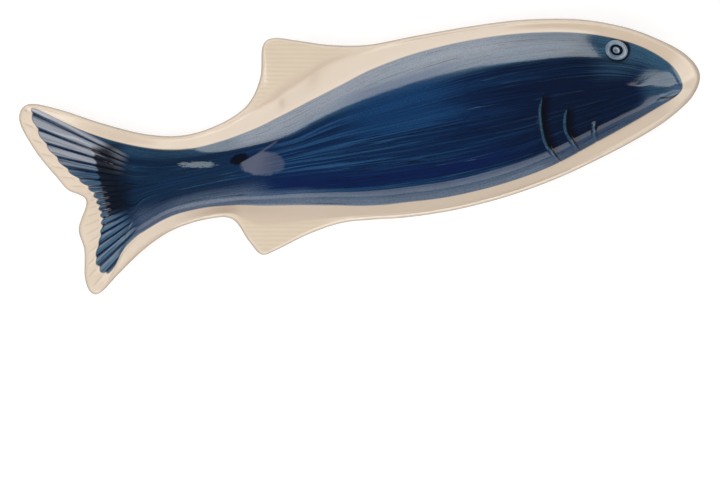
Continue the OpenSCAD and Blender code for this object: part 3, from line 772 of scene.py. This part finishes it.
class BlueGlaze(Look):
    """The brushed blue glaze, laid in layers from the strokes of the brush to its border."""

    def __init__(self, glazes):
        super().__init__("brushed_blue", glazes)
        self.at, (self.x, self.y, _) = self.place()
        self.u, self.v, self.edge, self.turn, self.hand, self.phase, self.fluted = self.marks(
            "u", "v", "edge_m", "turn_m", "hand", "phase", "fluted")
        self.back = self.step(self.hand, -.1, .1)
        self.belly = 1 - self.back
        # Strokes of the brush, along the fish and finer across it
        sway = self.noise(self.vector(self.u * 2, self.v * 2), 1, 1) - .5
        lane = self.v + sway * .03
        self.fine = self.noise(self.vector(self.u * 6, lane * 95), 1, 3, .6)
        self.broad = self.noise(self.vector(self.u * 2, lane * 13, 3), 1, 3, .6)
        self.hair = self.noise(self.vector(self.u * 2.4, lane * 42, 7), 1, 2, .5)
        # How far the fine strokes and a soft cloud lie over or under their middle
        self.streaky = self.fine - .5
        self.cloud = self.noise(self.at, 26, 3, .6) - .5
        self.rays = self.ridge(self.phase)
        # The root of the tail, scalloped where the rays begin, which gets a painted dark reflection
        root = self.step(self.x - .0022 * self.rays, -.2045, -.2025) * self.step(self.x, -.174, -.192)
        self.root = root * self.band(self.y, -.027, -.019, .025, .032)

    def lay_strokes(self):
        """Strokes over the floor, darker towards the head and thinner at the nose and the brow."""
        g, x, y, fine, streaky = self.g, self.x, self.y, self.fine, self.streaky
        middle = self.band(x, -.12, -.06, 0, .12)
        headward = self.step(x, .02, .15)
        self.colour = self.blend(self.step(x, -.07, -.13), g.navy, g.peduncle)
        self.lay(headward * .8, g.groove)
        self.lay(self.band(x, .07, .16, .19, .215) * .6, g.root)
        stroke = self.step(fine * .62 + self.broad * .38, .46, .62)
        self.lay(stroke * (.5 + .25 * middle - .22 * headward), self.blend(middle, g.streak, g.pale_streak))
        self.lay(self.step(self.broad, .5, .34) * .5, g.groove)
        brow = self.step(x + streaky * .04, .165, .2) * self.step(y + streaky * .008, -.013, .002)
        nose = self.math("MAXIMUM", self.step(x, .2, .216), brow)
        self.lay(nose * (.5 + 1.2 * streaky), g.teal)

    def lay_back_wall(self):
        """Teal on the wall of the back, partly thin glaze and partly painted reflection, with a grey
        painted reflection over the wall and dark strokes over its foot.
        """
        g, x, edge, turn, streaky = self.g, self.x, self.edge, self.turn, self.streaky
        wall = self.step(turn, .001, -.005) * self.back * (1 - .55 * self.step(x, -.11, -.15))
        # Teal up the wall, partly thin glaze and partly painted reflection
        self.lay(wall * (.62 + 1.5 * streaky), g.teal)
        # Grey painted reflection of a lamp over the wall
        near = self.step(edge, .02, .006) * self.band(x, -.105, -.085, .09, .15)
        mid = self.step(edge, .003, .01) * self.step(turn, -.002, -.007) * self.band(x, 0, .08, .16, .175)
        self.lay(wall * (near * .7 + mid * .34), g.thin)
        cut = self.step(turn, -.0155, -.0115) * self.band(x, -.03, .01, .05, .085) * self.back
        self.lay(cut * (.7 + .9 * streaky), g.streak)

    def lay_belly_side(self):
        """Glaze that pools along the floor on the belly side, with paler painted reflections up the wall,
        over thinner glaze near the edge, and low ahead of the tail.
        """
        g, x, y, belly, cloud, streaky = self.g, self.x, self.y, self.belly, self.cloud, self.streaky
        pool = self.band(self.turn, -.001, .004, .008, .018) * belly * self.band(x, -.1, -.06, .07, .135)
        self.lay(pool * (.9 + .5 * cloud), g.deep)
        apron = self.step(self.turn + cloud * .004, .002, -.006) * belly
        self.lay(apron * (.75 + .5 * streaky), g.streak)
        # Painted reflection up the belly wall, over thinner glaze near the edge
        rim_side = self.step(self.edge + cloud * .004, .0175, .004) * belly * self.step(x, -.175, -.14)
        weaker = (1 - .6 * self.step(x, .115, .145)) * (1 - .4 * self.step(x, -.05, -.12))
        self.lay(rim_side * weaker * (.85 + .5 * streaky), g.wash_and_reflection)
        # Painted reflection low on the belly side ahead of the tail
        low = self.step(y + cloud * .003, -.018, -.031) * self.band(x, -.19, -.175, -.1, -.075)
        self.lay(low * belly * (.42 + .6 * streaky), g.reflected_haze)

    def lay_hairs(self):
        """Dark and pale hair lines between the strokes, and the grain of the pigment."""
        g, at = self.g, self.at
        dark = self.thread(self.hair, .5, .014, .003) * self.step(self.noise(at, 17, 1), .37, .52)
        thinner = self.thread(self.fine, .47, .014, .003) * self.step(self.noise(at, 14, 1), .42, .58)
        self.lay(self.math("MAXIMUM", dark * .75, thinner * .6), g.root)
        glints = self.thread(self.hair, .62, .012, .002) * self.step(self.noise(at, 21, 1), .45, .6)
        self.lay(glints * .5, g.teal)
        self.lay(self.step(self.noise(at, 1000, 2, .7), .56, .38) * .3, g.groove)

    def lay_tail(self):
        """Pale rays, partly thin glaze and partly painted highlight, dark grooves, and a painted dark
        reflection at the root of the tail.
        """
        g, phase, rays, fluted = self.g, self.phase, self.rays, self.fluted
        upper = self.step(phase, 5, 3)
        lower = self.step(phase, 10, 13)
        own = self.noise(self.vector(phase * 1.6, 2, 9), 1, 1) - .5
        streaks = self.noise(self.vector(phase * 5, self.u * 9, 4), 1, 3, .65)
        ray = self.step(rays + (streaks - .5) * 1.3 + own * 1.1, .2, .85) * fluted
        # Paler ray crests, partly thin glaze and partly painted highlight
        self.lay(ray * (.42 + .55 * upper + .38 * lower), self.blend(upper, g.ray, g.pale_ray))
        gap = self.step(rays + (streaks - .5) * .5, .3 + .4 * lower, .08 + .15 * lower)
        self.lay(gap * fluted * (.9 + .3 * self.cloud), g.groove)
        stain = self.step(streaks, .53, .4) * (.3 + .7 * self.step(phase, 2.2, 4)) * fluted
        self.lay(stain * .7, g.groove)
        # Painted dark reflection at the root of the tail
        self.lay(self.root * (.93 + .3 * self.cloud), g.root)

    def lay_patches(self):
        """Knot of dark glaze, and painted reflections: the pale patch and line beside it, and a fleck
        nearer the tail.
        """
        g, x, y = self.g, self.x, self.y
        ragged = (self.noise(self.at, 300, 3, .7) - .5) * 1.4
        self.lay(self.spot(x, y, (-.097, -.004), (.0075, .0042), ragged * 1.1) * .95, g.root)
        # Painted reflection of a lamp, a pale patch and a line beside it
        along, over = in_view(x - PATCH[0], y - PATCH[1])
        patch = self.spot(along, over, (0, 0), (.0165, .009), ragged * .7)
        patch = patch * (.5 + .5 * self.step(along + self.cloud * .012, .012, -.006))
        patch = patch * self.step(over - along * .556 - .0092, .0006, -.0006)
        line = self.thread(over * .832 - along * .555, .0076, .0011, .0003)
        line = line * self.thread(along, .002, .0105, .007)
        self.lay(self.math("MAXIMUM", patch * .75, line * .4), g.painted_reflection)
        # Painted reflection, a pale fleck nearer the tail
        dab = self.noise(self.vector(along * 190, over * 900, 8), 1, 4, .75) - .5
        self.lay(self.spot(*in_view(x, y), (-.125, -.0296), (.0125, .0022), dab * 6) * .42, g.pale)

    def gill_shade(self, places):
        """Painted shade on the head side of a gill, which runs through pairs of shares."""
        way = (one_way(np.array(places, float), np.linspace(0, len(places) - 1, 30)) - .5) * BODY_SIZE[:2]
        a, b, c, d = (float(k) for k in np.polyfit(way[:, 1], way[:, 0], 3))
        ahead = self.x - (((a * self.y + b) * self.y + c) * self.y + d)
        low, high = float(way[:, 1].min()), float(way[:, 1].max())
        ends = self.step(self.y, low + .004, low + .014) * self.step(self.y, high + .002, high - .006)
        return self.band(ahead, -.001, .0004, .0028, .0098) * ends

    def lay_details(self):
        """Painted shade beside the gills and round the eye, and the colours of the ridges."""
        g, x, y = self.g, self.x, self.y
        rise, across = self.marks("rise", "across")
        # Painted shade beside each gill, weaker at the front gill
        for places in GILLS.values():
            self.lay(self.gill_shade(places) * (.95 - .5 * self.step(x, .15, .158)), g.root)
        eye_x, eye_y = ((share - .5) * float(size) for share, size in zip(EYE, BODY_SIZE))
        # Painted shade in the eye's hollow, and a painted shadow under the ring on its nose side
        self.lay(self.spot(x, y, (eye_x, eye_y), (.0056, .0052)) * .97, g.root)
        self.lay(self.spot(x, y, (eye_x + .0011, eye_y - .0007), (.0091, .0088)) * .95, g.root)
        # Ridges get painted shade down the head side and at the far edge, with teal beads along the crest,
        # partly thin pale glaze and partly a painted highlight
        flank_shade = self.step(across, -.1, .45) * self.step(rise, .02, .15) + self.step(across, -.55, -.9) * .6
        self.lay(flank_shade * .85 * (1 - .7 * self.step(x, .148, .156)), g.root)
        crest = self.thread(across, -.2, .55, .15) * self.step(rise, .25, .6)
        bead = self.noise(self.at, 900, 2, .7)
        self.lay(crest * (.5 + 2.2 * (bead - .5)), g.teal)
        # The mouth is a dark line, painted shade of its crease, with a paler band above it, partly thin
        # glaze and partly painted highlight
        ends = self.band(x, .2165, .2195, .231, .2335)
        line_y = y + .0312 - 20 * (x - .2255) * (x - .2255)
        self.lay(self.band(line_y, .0004, .0014, .0022, .0048) * ends * (.7 + self.cloud), g.ray)
        self.lay(self.thread(line_y, 0, .0011, .0004) * ends * .95, g.root)
        self.lay(self.specks(self.at, 60, .08, 34, .67) * .8, g.root)

    def lay_border(self):
        """Cream past the edge of the blue, which is scalloped at the ends of the rays."""
        g, x, fluted = self.g, self.x, self.fluted
        border = self.edge + self.streaky * .0012 + (self.rays - .75) * .0024 * fluted * (1 - self.root)
        border = border + self.belly * self.band(x, -.13, -.1, 0, .02) * .0006
        self.lay(self.thread(border, .0006, .0012, .0001) * (.35 + .35 * fluted), g.edge)
        cream = on_slopes(self, x, self.mark("crossing"), self.hand, g.cream)
        self.colour = self.blend(self.step(border, -.0003, .0008), cream, self.colour)


def blue_finish(g):
    """Brushed blue glaze of the well and of the ridges on it, with its rays in the tail."""
    look = BlueGlaze(g)
    look.lay_strokes()
    look.lay_back_wall()
    look.lay_belly_side()
    look.lay_hairs()
    look.lay_tail()
    look.lay_patches()
    look.lay_details()
    look.lay_border()
    peel = look.bump(look.noise(look.at, 600, 2, .6), .00004, .4)
    normal = look.bump(look.fine, .0002, .09, peel)
    normal = look.bump(look.noise(look.at, 22, 1), .0006, .12, normal)
    rough = .035 + .06 * look.noise(look.vector(look.u * 12, look.v * 60, 5), 1, 3)
    return look.finish(Roughness=rough, Normal=normal, IOR=GLAZE_IOR)


def pale_finish(g):
    """Thin pale glaze on the raised eye, with painted shade in its hollows and low on its side towards the
    nose.
    """
    look = Look("thin_blue", g)
    at, _ = look.place()
    rise, facing = look.marks("rise", "turned")
    cloud = look.noise(at, 190, 3, .6)
    rings = look.noise(look.vector(rise * 7, facing * .7, 2), 1, 2, .6)
    look.colour = look.blend(look.step(rings + (cloud - .5) * .3, .4, .62), g.wash_and_reflection, g.pale)
    look.lay(look.thread(rise + (cloud - .5) * .15, .8, .07, .02) * .5, g.groove)
    # Painted shade down the side towards the nose, and a teal tint over the other side
    side = look.step(facing, -.2, .9)
    look.lay(side * look.step(rise, .6, .3) * .95, g.root)
    look.lay((1 - side) * .45, g.teal)
    # Painted shade low down, where the ring and the pupil meet the glaze
    look.lay(look.step(rise, .3, .08), g.root)
    return look.finish(Roughness=.1 + .1 * cloud, Normal=look.bump(cloud, .0001, .4), IOR=GLAZE_IOR)


def foot_finish(g):
    """Bare clay of the foot, worn, with painted shade along its lowest edge."""
    look = Look("bare_clay", g)
    at, (_, _, z) = look.place()
    grain = look.noise(at, 900, 3, .6)
    cloud = look.noise(at, 30, 3, .6)
    look.colour = look.blend(look.step(cloud, .3, .7), g.clay, g.wall)
    # Painted shade along the lowest edge, by the table
    look.lay(look.step(z, .0012, .0002) * (.3 + .5 * (cloud - .5)), g.line)
    return look.finish(Roughness=.5 + .3 * (grain - .5), Normal=look.bump(grain, .0002, .5))


def table_finish(g):
    """White table that shows the pale background to the camera, the gloss and clear things."""
    look = Look("table_white", g)
    at, _ = look.place()
    # Outputs of the Light Path node: 0 camera, 3 glossy and 6 transmission rays
    seen, mirrored, through = (look.node("ShaderNodeLightPath", output=output) for output in (0, 3, 6))
    path = look.math("MAXIMUM", look.math("MAXIMUM", seen, mirrored), through)
    pale = look.blend(look.noise(at, 3, 2), (.93, .93, .93), (.95, .95, .95))
    look.colour = look.blend(path, pale, (.45, .45, .45))
    glow = look.blend(path, (0, 0, 0), (.66, .66, .66))
    return look.finish(Roughness=.9, Emission_Color=glow, Emission_Strength=1.0)


# Seating the raised details


def settled(form, goal):
    """Places round the platter and crossings above points of the plan, by Newton's steps from
    a start in the head. Crossings run on past the keel, up to 8 at the far lip."""
    s = np.full(len(goal), 4.0)
    c = np.full(len(goal), 3.5)
    small = 1 / 16
    for _ in range(12):
        p = over_keel(form, s, c)
        ds = (over_keel(form, s + small, c) - p) / small
        dc = (over_keel(form, s, c + small) - p) / small
        e = goal - p[:, :2]
        det = ds[:, 0] * dc[:, 1] - ds[:, 1] * dc[:, 0]
        det = np.where(np.abs(det) < 1e-12, 1e-12, det)
        s = np.clip(s + (e[:, 0] * dc[:, 1] - e[:, 1] * dc[:, 0]) / det, small, LAST - 1)
        c = np.clip(c + (e[:, 1] * ds[:, 0] - e[:, 0] * ds[:, 1]) / det, 1, 7)
    return s, c


def folded(s, c):
    """A place and crossing on the own side of the keel, for a crossing that runs on past it."""
    near = c <= KEEL_CROSSING
    return np.where(near, s, LAPS - s), np.where(near, c, 2 * KEEL_CROSSING - c)


def over_keel(form, s, c):
    """Upper surface at crossings that run on past the keel."""
    return form.top(*folded(s, c))


def above(form, goal):
    """Points of the upper surface above points of the plan."""
    return over_keel(form, *settled(form, goal))


def seated(form, bm, share, reach):
    """Moves a shape made flat at the origin onto the sloping glaze at a pair of shares."""
    around = np.array([[0, 0], [reach, 0], [-reach, 0], [0, reach], [0, -reach]])
    p = above(form, around + form.plan(share))
    out = np.cross(p[1] - p[2], p[3] - p[4])
    out /= np.linalg.norm(out)
    right = np.cross([0, 1, 0], out)
    right /= np.linalg.norm(right)
    ahead = np.cross(out, right)
    flat = np.array([v.co[:] for v in bm.verts])
    spot = p[0] + flat[:, :1] * right + flat[:, 1:2] * ahead
    places = above(form, spot[:, :2]) + flat[:, 2:] * out
    for vert, place in zip(bm.verts, places):
        vert.co = place


def turned(profile):
    """A shape turned from a profile of radii and heights, spun about the upright axis."""
    bm = bmesh.new()
    verts = [bm.verts.new((r, 0, h)) for r, h in profile]
    edges = [bm.edges.new(pair) for pair in zip(verts, verts[1:])]
    bmesh.ops.spin(bm, geom=verts + edges, cent=(0, 0, 0), axis=(0, 0, 1), angle=math.tau,
                   steps=72, use_merge=True, use_normal_flip=False, use_duplicate=False)
    bmesh.ops.remove_doubles(bm, verts=bm.verts, dist=1e-7)
    bmesh.ops.recalc_face_normals(bm, faces=bm.faces)
    for face in bm.faces:
        face.smooth = True
    return bm


def rounded(*points):
    """A smooth profile through points of a radius and a height."""
    rows = np.array(points, float)
    last = len(rows) - 1
    return one_way(rows, np.linspace(0, last, last * 5 + 1))


def with_rise(bm, top):
    """Marks how far up a shape each vertex lies, as a share of its height, and how far
    its side looks towards the nose."""
    rise = bm.verts.layers.float.new("rise")
    towards_nose = bm.verts.layers.float.new("turned")
    for vert in bm.verts:
        vert[rise] = vert.co.z / top
        vert[towards_nose] = vert.co.x / max(vert.co.xy.length, 1e-6)


def closed(mark):
    """A mark with two more rows, for the underside of a ridge."""
    return np.concatenate([mark, mark[-1:], mark[:1]])


def on_coat(form, s, c, top):
    """Marks of the coat under points of a ridge, so that one glaze runs over both."""
    own, over = folded(s, c)
    hand = np.where(c <= KEEL_CROSSING, 1.0, -1.0)

    def past(line):
        """Distance from one of the coat's lines, negative on its outer side."""
        return np.linalg.norm(top - form.top(own, np.full(len(s), line)), axis=1) * np.sign(over - line)

    return {
        "u": top[:, 0] / form.sizes.length + .5,
        "v": hand * (KEEL_CROSSING - over) / KEEL_CROSSING,
        "hand": hand,
        "crossing": over,
        "edge_m": past(2.0),
        "turn_m": past(3.0),
    }


def ridge(form, name, node, shares, width, rise, material):
    """A raised line, round on top, that sinks away at both ends."""
    steps, around = 96, 25
    sunk, depth = .00008, .0009
    t = np.linspace(0, 1, steps)
    way = one_way(np.array(shares, float), t * (len(shares) - 1))
    line = np.array([form.plan(share) for share in way])
    ahead = np.gradient(line, axis=0)
    ahead /= np.linalg.norm(ahead, axis=1)[:, None]
    side = np.stack([-ahead[:, 1], ahead[:, 0]], 1)
    swell = smooth(np.minimum(t, 1 - t), -.06, .3)
    across = np.linspace(1, -1, around)
    reach = width * .85 * mix(.5, 1, swell)
    spots = (line[None] + side[None] * (across[:, None] * reach[None])[:, :, None]).reshape(-1, 2)
    s, c = settled(form, spots)
    top = over_keel(form, s, c)
    bow = np.cos(np.pi / 2 * across)[:, None] ** 2 * swell[None]
    rows = top.reshape(around, steps, 3).copy()
    rows[:, :, 2] += bow * rise - sunk
    under = (rows[-1:] + rows[:1]) / 2 - [0, 0, depth]
    rows = np.concatenate([rows, under, rows[:1]])
    marks = {key: closed(mark.reshape(around, steps)) for key, mark in on_coat(form, s, c, top).items()}
    marks["rise"] = closed(bow)
    marks["across"] = closed(in_rows(across, steps) * np.minimum(1, bow * 4))
    # Each end runs to one point, in the middle of its last ring
    ends = [np.repeat(rows[:, k:k + 1].mean(0, keepdims=True), len(rows), 0) for k in (0, steps - 1)]
    rows = np.concatenate([ends[0], rows, ends[1]], 1)
    marks = {key: np.concatenate([mark[:, :1], mark, mark[:, -1:]], 1) for key, mark in marks.items()}
    dress(sheet_mesh(name, rows, marks), material, node)


# Operators


def settings(context):
    """The platter's sizes, glazes and stage."""
    scene = context.scene
    return scene.platter_sizes, scene.platter_glazes, scene.platter_stage


def brushed_blue(glazes):
    """The blue finish, made once for the coat and the ridges on it."""
    return bpy.data.materials.get("brushed_blue") or blue_finish(glazes)


def dress(piece, material, node):
    """Gives a piece its finish and its body, and hides the solid that it stands for."""
    piece.data.materials.append(material)
    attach(piece, "root")
    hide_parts(node)


class PLATTER_OT_clay_body(bpy.types.Operator):
    """Makes the cream clay body with its rim, fins, tail and outer wall"""

    bl_idname = "platter.clay_body"
    bl_label = "Clay body"
    bl_options = {"REGISTER", "UNDO"}

    def execute(self, context):
        sizes, glazes, _ = settings(context)
        form = Form(sizes)
        s = places_round()
        under = [form.under_keel(s), form.tuck(s)]
        wall_at = np.concatenate([np.linspace(1, FIN_SHARE, 16)[:-1], np.linspace(FIN_SHARE, 0, 6)[:-1]])
        wall = [form.wall(s, t) for t in wall_at]
        rim = form.rolled_rim(s, wall[-1])
        # The upper surface, which lies lower past the seam to leave room for the coat
        above_seam = np.linspace(0, SEAM, 19)
        crossings = np.concatenate([above_seam, [SEAM + .03, SEAM + .08],
                                    np.linspace(SEAM + .16, KEEL_CROSSING, 24)])
        top = surface(form, s, crossings)
        top[:, :, 2] -= CLAY_DEPTH * smooth(crossings, SEAM, SEAM + .12)[:, None]
        rows = np.array(under + wall + rim + list(top))
        first_top = len(rows) - len(top)
        marks = marks_of(form, s, np.concatenate([np.full(first_top, -1.0), crossings]), rows)
        down_wall = np.concatenate([[1, 1], wall_at, np.zeros(len(rows) - len(under + wall))])
        marks["wall"] = in_rows(down_wall, len(s))
        outermost = len(under + wall) + 4
        marks["lip_m"] = along_section(rows, outermost)
        piece = sheet_mesh("clay_body", rows, marks, first_top + len(above_seam) - 1)
        dress(piece, cream_finish(glazes), "platter_body")
        return {"FINISHED"}


class PLATTER_OT_foot(bpy.types.Operator):
    """Makes the ring of bare clay that the platter stands on"""

    bl_idname = "platter.foot"
    bl_label = "Foot"
    bl_options = {"REGISTER", "UNDO"}

    def execute(self, context):
        sizes, glazes, _ = settings(context)
        form = Form(sizes)
        heel = HEEL - .5
        s = np.concatenate([np.linspace(0, heel, 240), np.linspace(LAPS - heel, LAPS, 240)])
        outer = form.place(round_trip(form.foot_rows, s), 0)
        way = (form.under_keel(s) - outer) * [1, 1, 0]
        inner = outer + way * np.minimum(sizes.foot_width / np.linalg.norm(way, axis=1)[:, None], .5)
        across = inner - outer
        across /= np.linalg.norm(across, axis=1)[:, None]
        h, r = sizes.foot_height, FOOT_ROUND
        profile = [(.0004, h), (.0003, h / 2), (.0003, r), (.0006, r * .3), (r + .0003, 0)]
        up = np.array([0, 0, 1])
        rows = [(outer + across * inset) * [1, 1, 0] + up * z for inset, z in profile]
        rows += [(inner - across * inset) * [1, 1, 0] + up * z for inset, z in reversed(profile)]
        rows = np.array(rows + rows[:1])
        marks = {"u": rows[:, :, 0] / sizes.length + .5, "v": rows[:, :, 2] / h}
        dress(sheet_mesh("foot", rows, marks), foot_finish(glazes), "foot_ring")
        return {"FINISHED"}


class PLATTER_OT_blue_coat(bpy.types.Operator):
    """Makes the brushed blue glaze that fills the well"""

    bl_idname = "platter.blue_coat"
    bl_label = "Blue glaze"
    bl_options = {"REGISTER", "UNDO"}

    def execute(self, context):
        sizes, glazes, _ = settings(context)
        form = Form(sizes)
        s = places_round()
        up = np.concatenate([[SEAM, SEAM + .02], np.linspace(SEAM + .06, KEEL_CROSSING, 52)])
        below = np.concatenate([np.linspace(KEEL_CROSSING, 2.2, 16), [SEAM + .12, SEAM + .05]])
        base = surface(form, s, below)
        # Lower where the flutes are, because its rows are further apart
        base[:, :, 2] -= COAT_DEPTH + FLUTE_COAT_DEPTH * np.minimum(1, 8 * form.rays(base)[1])
        rows = np.concatenate([base, surface(form, s, up)])
        first = len(below)
        marks = marks_of(form, s, np.concatenate([below, up]), rows)
        for mark, line in (("edge_m", 2), ("turn_m", 3)):
            marks[mark] = along_section(rows, first + int(np.argmin(np.abs(up - line))))
        # The coat's underside takes the blue of the well, and not its border
        marks["edge_m"][:first] = .02
        dress(sheet_mesh("blue_coat", rows, marks, first), brushed_blue(glazes), "blue_glaze")
        return {"FINISHED"}


class PLATTER_OT_eye(bpy.types.Operator):
    """Makes the raised ring and pupil of the eye, seated on the slope of the head"""

    bl_idname = "platter.eye"
    bl_label = "Eye"
    bl_options = {"REGISTER", "UNDO"}

    def execute(self, context):
        sizes, glazes, _ = settings(context)
        form = Form(sizes)
        inner, outer, rise, dot = sizes.eye_hollow / 2, sizes.eye / 2, sizes.eye_rise, sizes.pupil / 2
        band = outer - inner
        base = -.0003
        ring = rounded((inner, base), (inner + band * .1, rise * .62), (inner + band * .34, rise),
                       (inner + band * .66, rise * .9), (outer - band * .1, rise * .5), (outer, base))
        pupil = rounded((0, rise * .8), (dot * .45, rise * .76), (dot * .82, rise * .5), (dot, base))
        finish = pale_finish(glazes)
        for name, node, profile in (("eye_band", "eye_ring", np.vstack([ring, ring[:1]])),
                                    ("pupil", "eye_pupil", np.vstack([pupil, [[0, base]]]))):
            bm = turned(profile)
            with_rise(bm, rise)
            seated(form, bm, EYE, sizes.eye / 4)
            dress(finish_mesh(name, bm), finish, node)
        return {"FINISHED"}


class PLATTER_OT_gills(bpy.types.Operator):
    """Makes the three gill ridges"""

    bl_idname = "platter.gills"
    bl_label = "Gills"
    bl_options = {"REGISTER", "UNDO"}

    def execute(self, context):
        sizes, glazes, _ = settings(context)
        form, finish = Form(sizes), brushed_blue(glazes)
        for node, shares in GILLS.items():
            name = node.replace("gill", "gill_line")
            ridge(form, name, node, shares, sizes.gill, sizes.gill_rise, finish)
        return {"FINISHED"}


class PLATTER_OT_mouth(bpy.types.Operator):
    """Makes the raised line of the mouth"""

    bl_idname = "platter.mouth"
    bl_label = "Mouth"
    bl_options = {"REGISTER", "UNDO"}

    def execute(self, context):
        sizes, glazes, _ = settings(context)
        form, finish = Form(sizes), brushed_blue(glazes)
        ridge(form, "mouth_line", "mouth_lip", MOUTH, sizes.mouth, sizes.mouth_rise, finish)
        return {"FINISHED"}


def softbox(name, radiance, azimuth, elevation, distance, size):
    """A soft lamp that shines at the platter. Azimuth 0 lies on the belly side and 90 at the nose."""
    a, e = math.radians(azimuth), math.radians(elevation)
    aim = Vector((0, 0, .02))
    place = Vector((math.sin(a) * math.cos(e), -math.cos(a) * math.cos(e), math.sin(e))) * distance + aim
    data = bpy.data.lights.new(name, "AREA")
    data.shape = "RECTANGLE"
    data.size, data.size_y = size
    data.energy = radiance * math.pi * size[0] * size[1]
    lamp = bpy.data.objects.new(name, data)
    lamp.location = place
    lamp.rotation_euler = (place - aim).to_track_quat("Z", "Y").to_euler()
    bpy.context.scene.collection.objects.link(lamp)
    return lamp


class PLATTER_OT_stage(bpy.types.Operator):
    """Makes the pale floor, the softboxes, the world and the camera"""

    bl_idname = "platter.stage"
    bl_label = "Stage"
    bl_options = {"REGISTER", "UNDO"}

    def execute(self, context):
        _, glazes, stage = settings(context)
        scene = context.scene
        scene.view_settings.view_transform = "Standard"
        scene.world = bpy.data.worlds.new("studio")
        scene.world.use_nodes = True
        background = scene.world.node_tree.nodes["Background"]
        background.inputs["Color"].default_value = (1, 1, 1, 1)
        background.inputs["Strength"].default_value = stage.world

        softbox("belly_softbox", stage.belly_lamp, 1.5, 27, 1.4, (.73, 1.1))
        softbox("back_softbox", stage.back_lamp, 180, 25.4, 1.4, (2.4, 1.12))
        softbox("tail_softbox", stage.tail_lamp, -70, 44, 1.4, (.83, .82))
        # Fill from above, which the glaze doesn't mirror
        fill = softbox("overhead_fill", stage.fill, 0, 90, 2, (2.5, 2.5))
        fill.visible_glossy = False

        bm = bmesh.new()
        bmesh.ops.create_grid(bm, x_segments=2, y_segments=2, size=4)
        floor = finish_mesh("table", bm)
        floor.data.materials.append(table_finish(glazes))

        data = bpy.data.cameras.new("camera")
        data.sensor_width = 36
        rim_height = .03
        # The lens takes in the view width at the height of the rim
        data.lens = data.sensor_width * (stage.distance - rim_height) / stage.view_width
        data.clip_end = 100
        camera = bpy.data.objects.new("camera", data)
        camera.location = (-.02443, -.08766, stage.distance)
        camera.rotation_euler = (0, 0, -stage.roll)
        scene.collection.objects.link(camera)
        scene.camera = camera
        return {"FINISHED"}


class PLATTER_PT_panel(bpy.types.Panel):
    """Lists the platter's pieces, sizes and colours"""

    bl_idname = "PLATTER_PT_panel"
    bl_label = "Fish shaped platter"
    bl_space_type = "VIEW_3D"
    bl_region_type = "UI"
    bl_category = "Platter"

    def draw(self, context):
        for operator in OPERATORS:
            self.layout.operator(operator.bl_idname)
        for group in settings(context):
            box = self.layout.box()
            for key in type(group).__annotations__:
                box.prop(group, key)


OPERATORS = (PLATTER_OT_clay_body, PLATTER_OT_foot, PLATTER_OT_blue_coat, PLATTER_OT_eye,
             PLATTER_OT_gills, PLATTER_OT_mouth, PLATTER_OT_stage)
GROUPS = {"platter_sizes": PLATTER_PG_sizes, "platter_glazes": PLATTER_PG_glazes,
          "platter_stage": PLATTER_PG_stage}
CLASSES = (*GROUPS.values(), *OPERATORS, PLATTER_PT_panel)


def register():
    for item in CLASSES:
        bpy.utils.register_class(item)
    for name, group in GROUPS.items():
        setattr(bpy.types.Scene, name, bpy.props.PointerProperty(type=group))


def unregister():
    for name in GROUPS:
        delattr(bpy.types.Scene, name)
    for item in reversed(CLASSES):
        bpy.utils.unregister_class(item)


def main():
    register()
    bpy.ops.platter.clay_body()
    bpy.ops.platter.foot()
    bpy.ops.platter.blue_coat()
    bpy.ops.platter.eye()
    bpy.ops.platter.gills()
    bpy.ops.platter.mouth()
    bpy.ops.platter.stage()


if __name__ == "__main__":
    main()
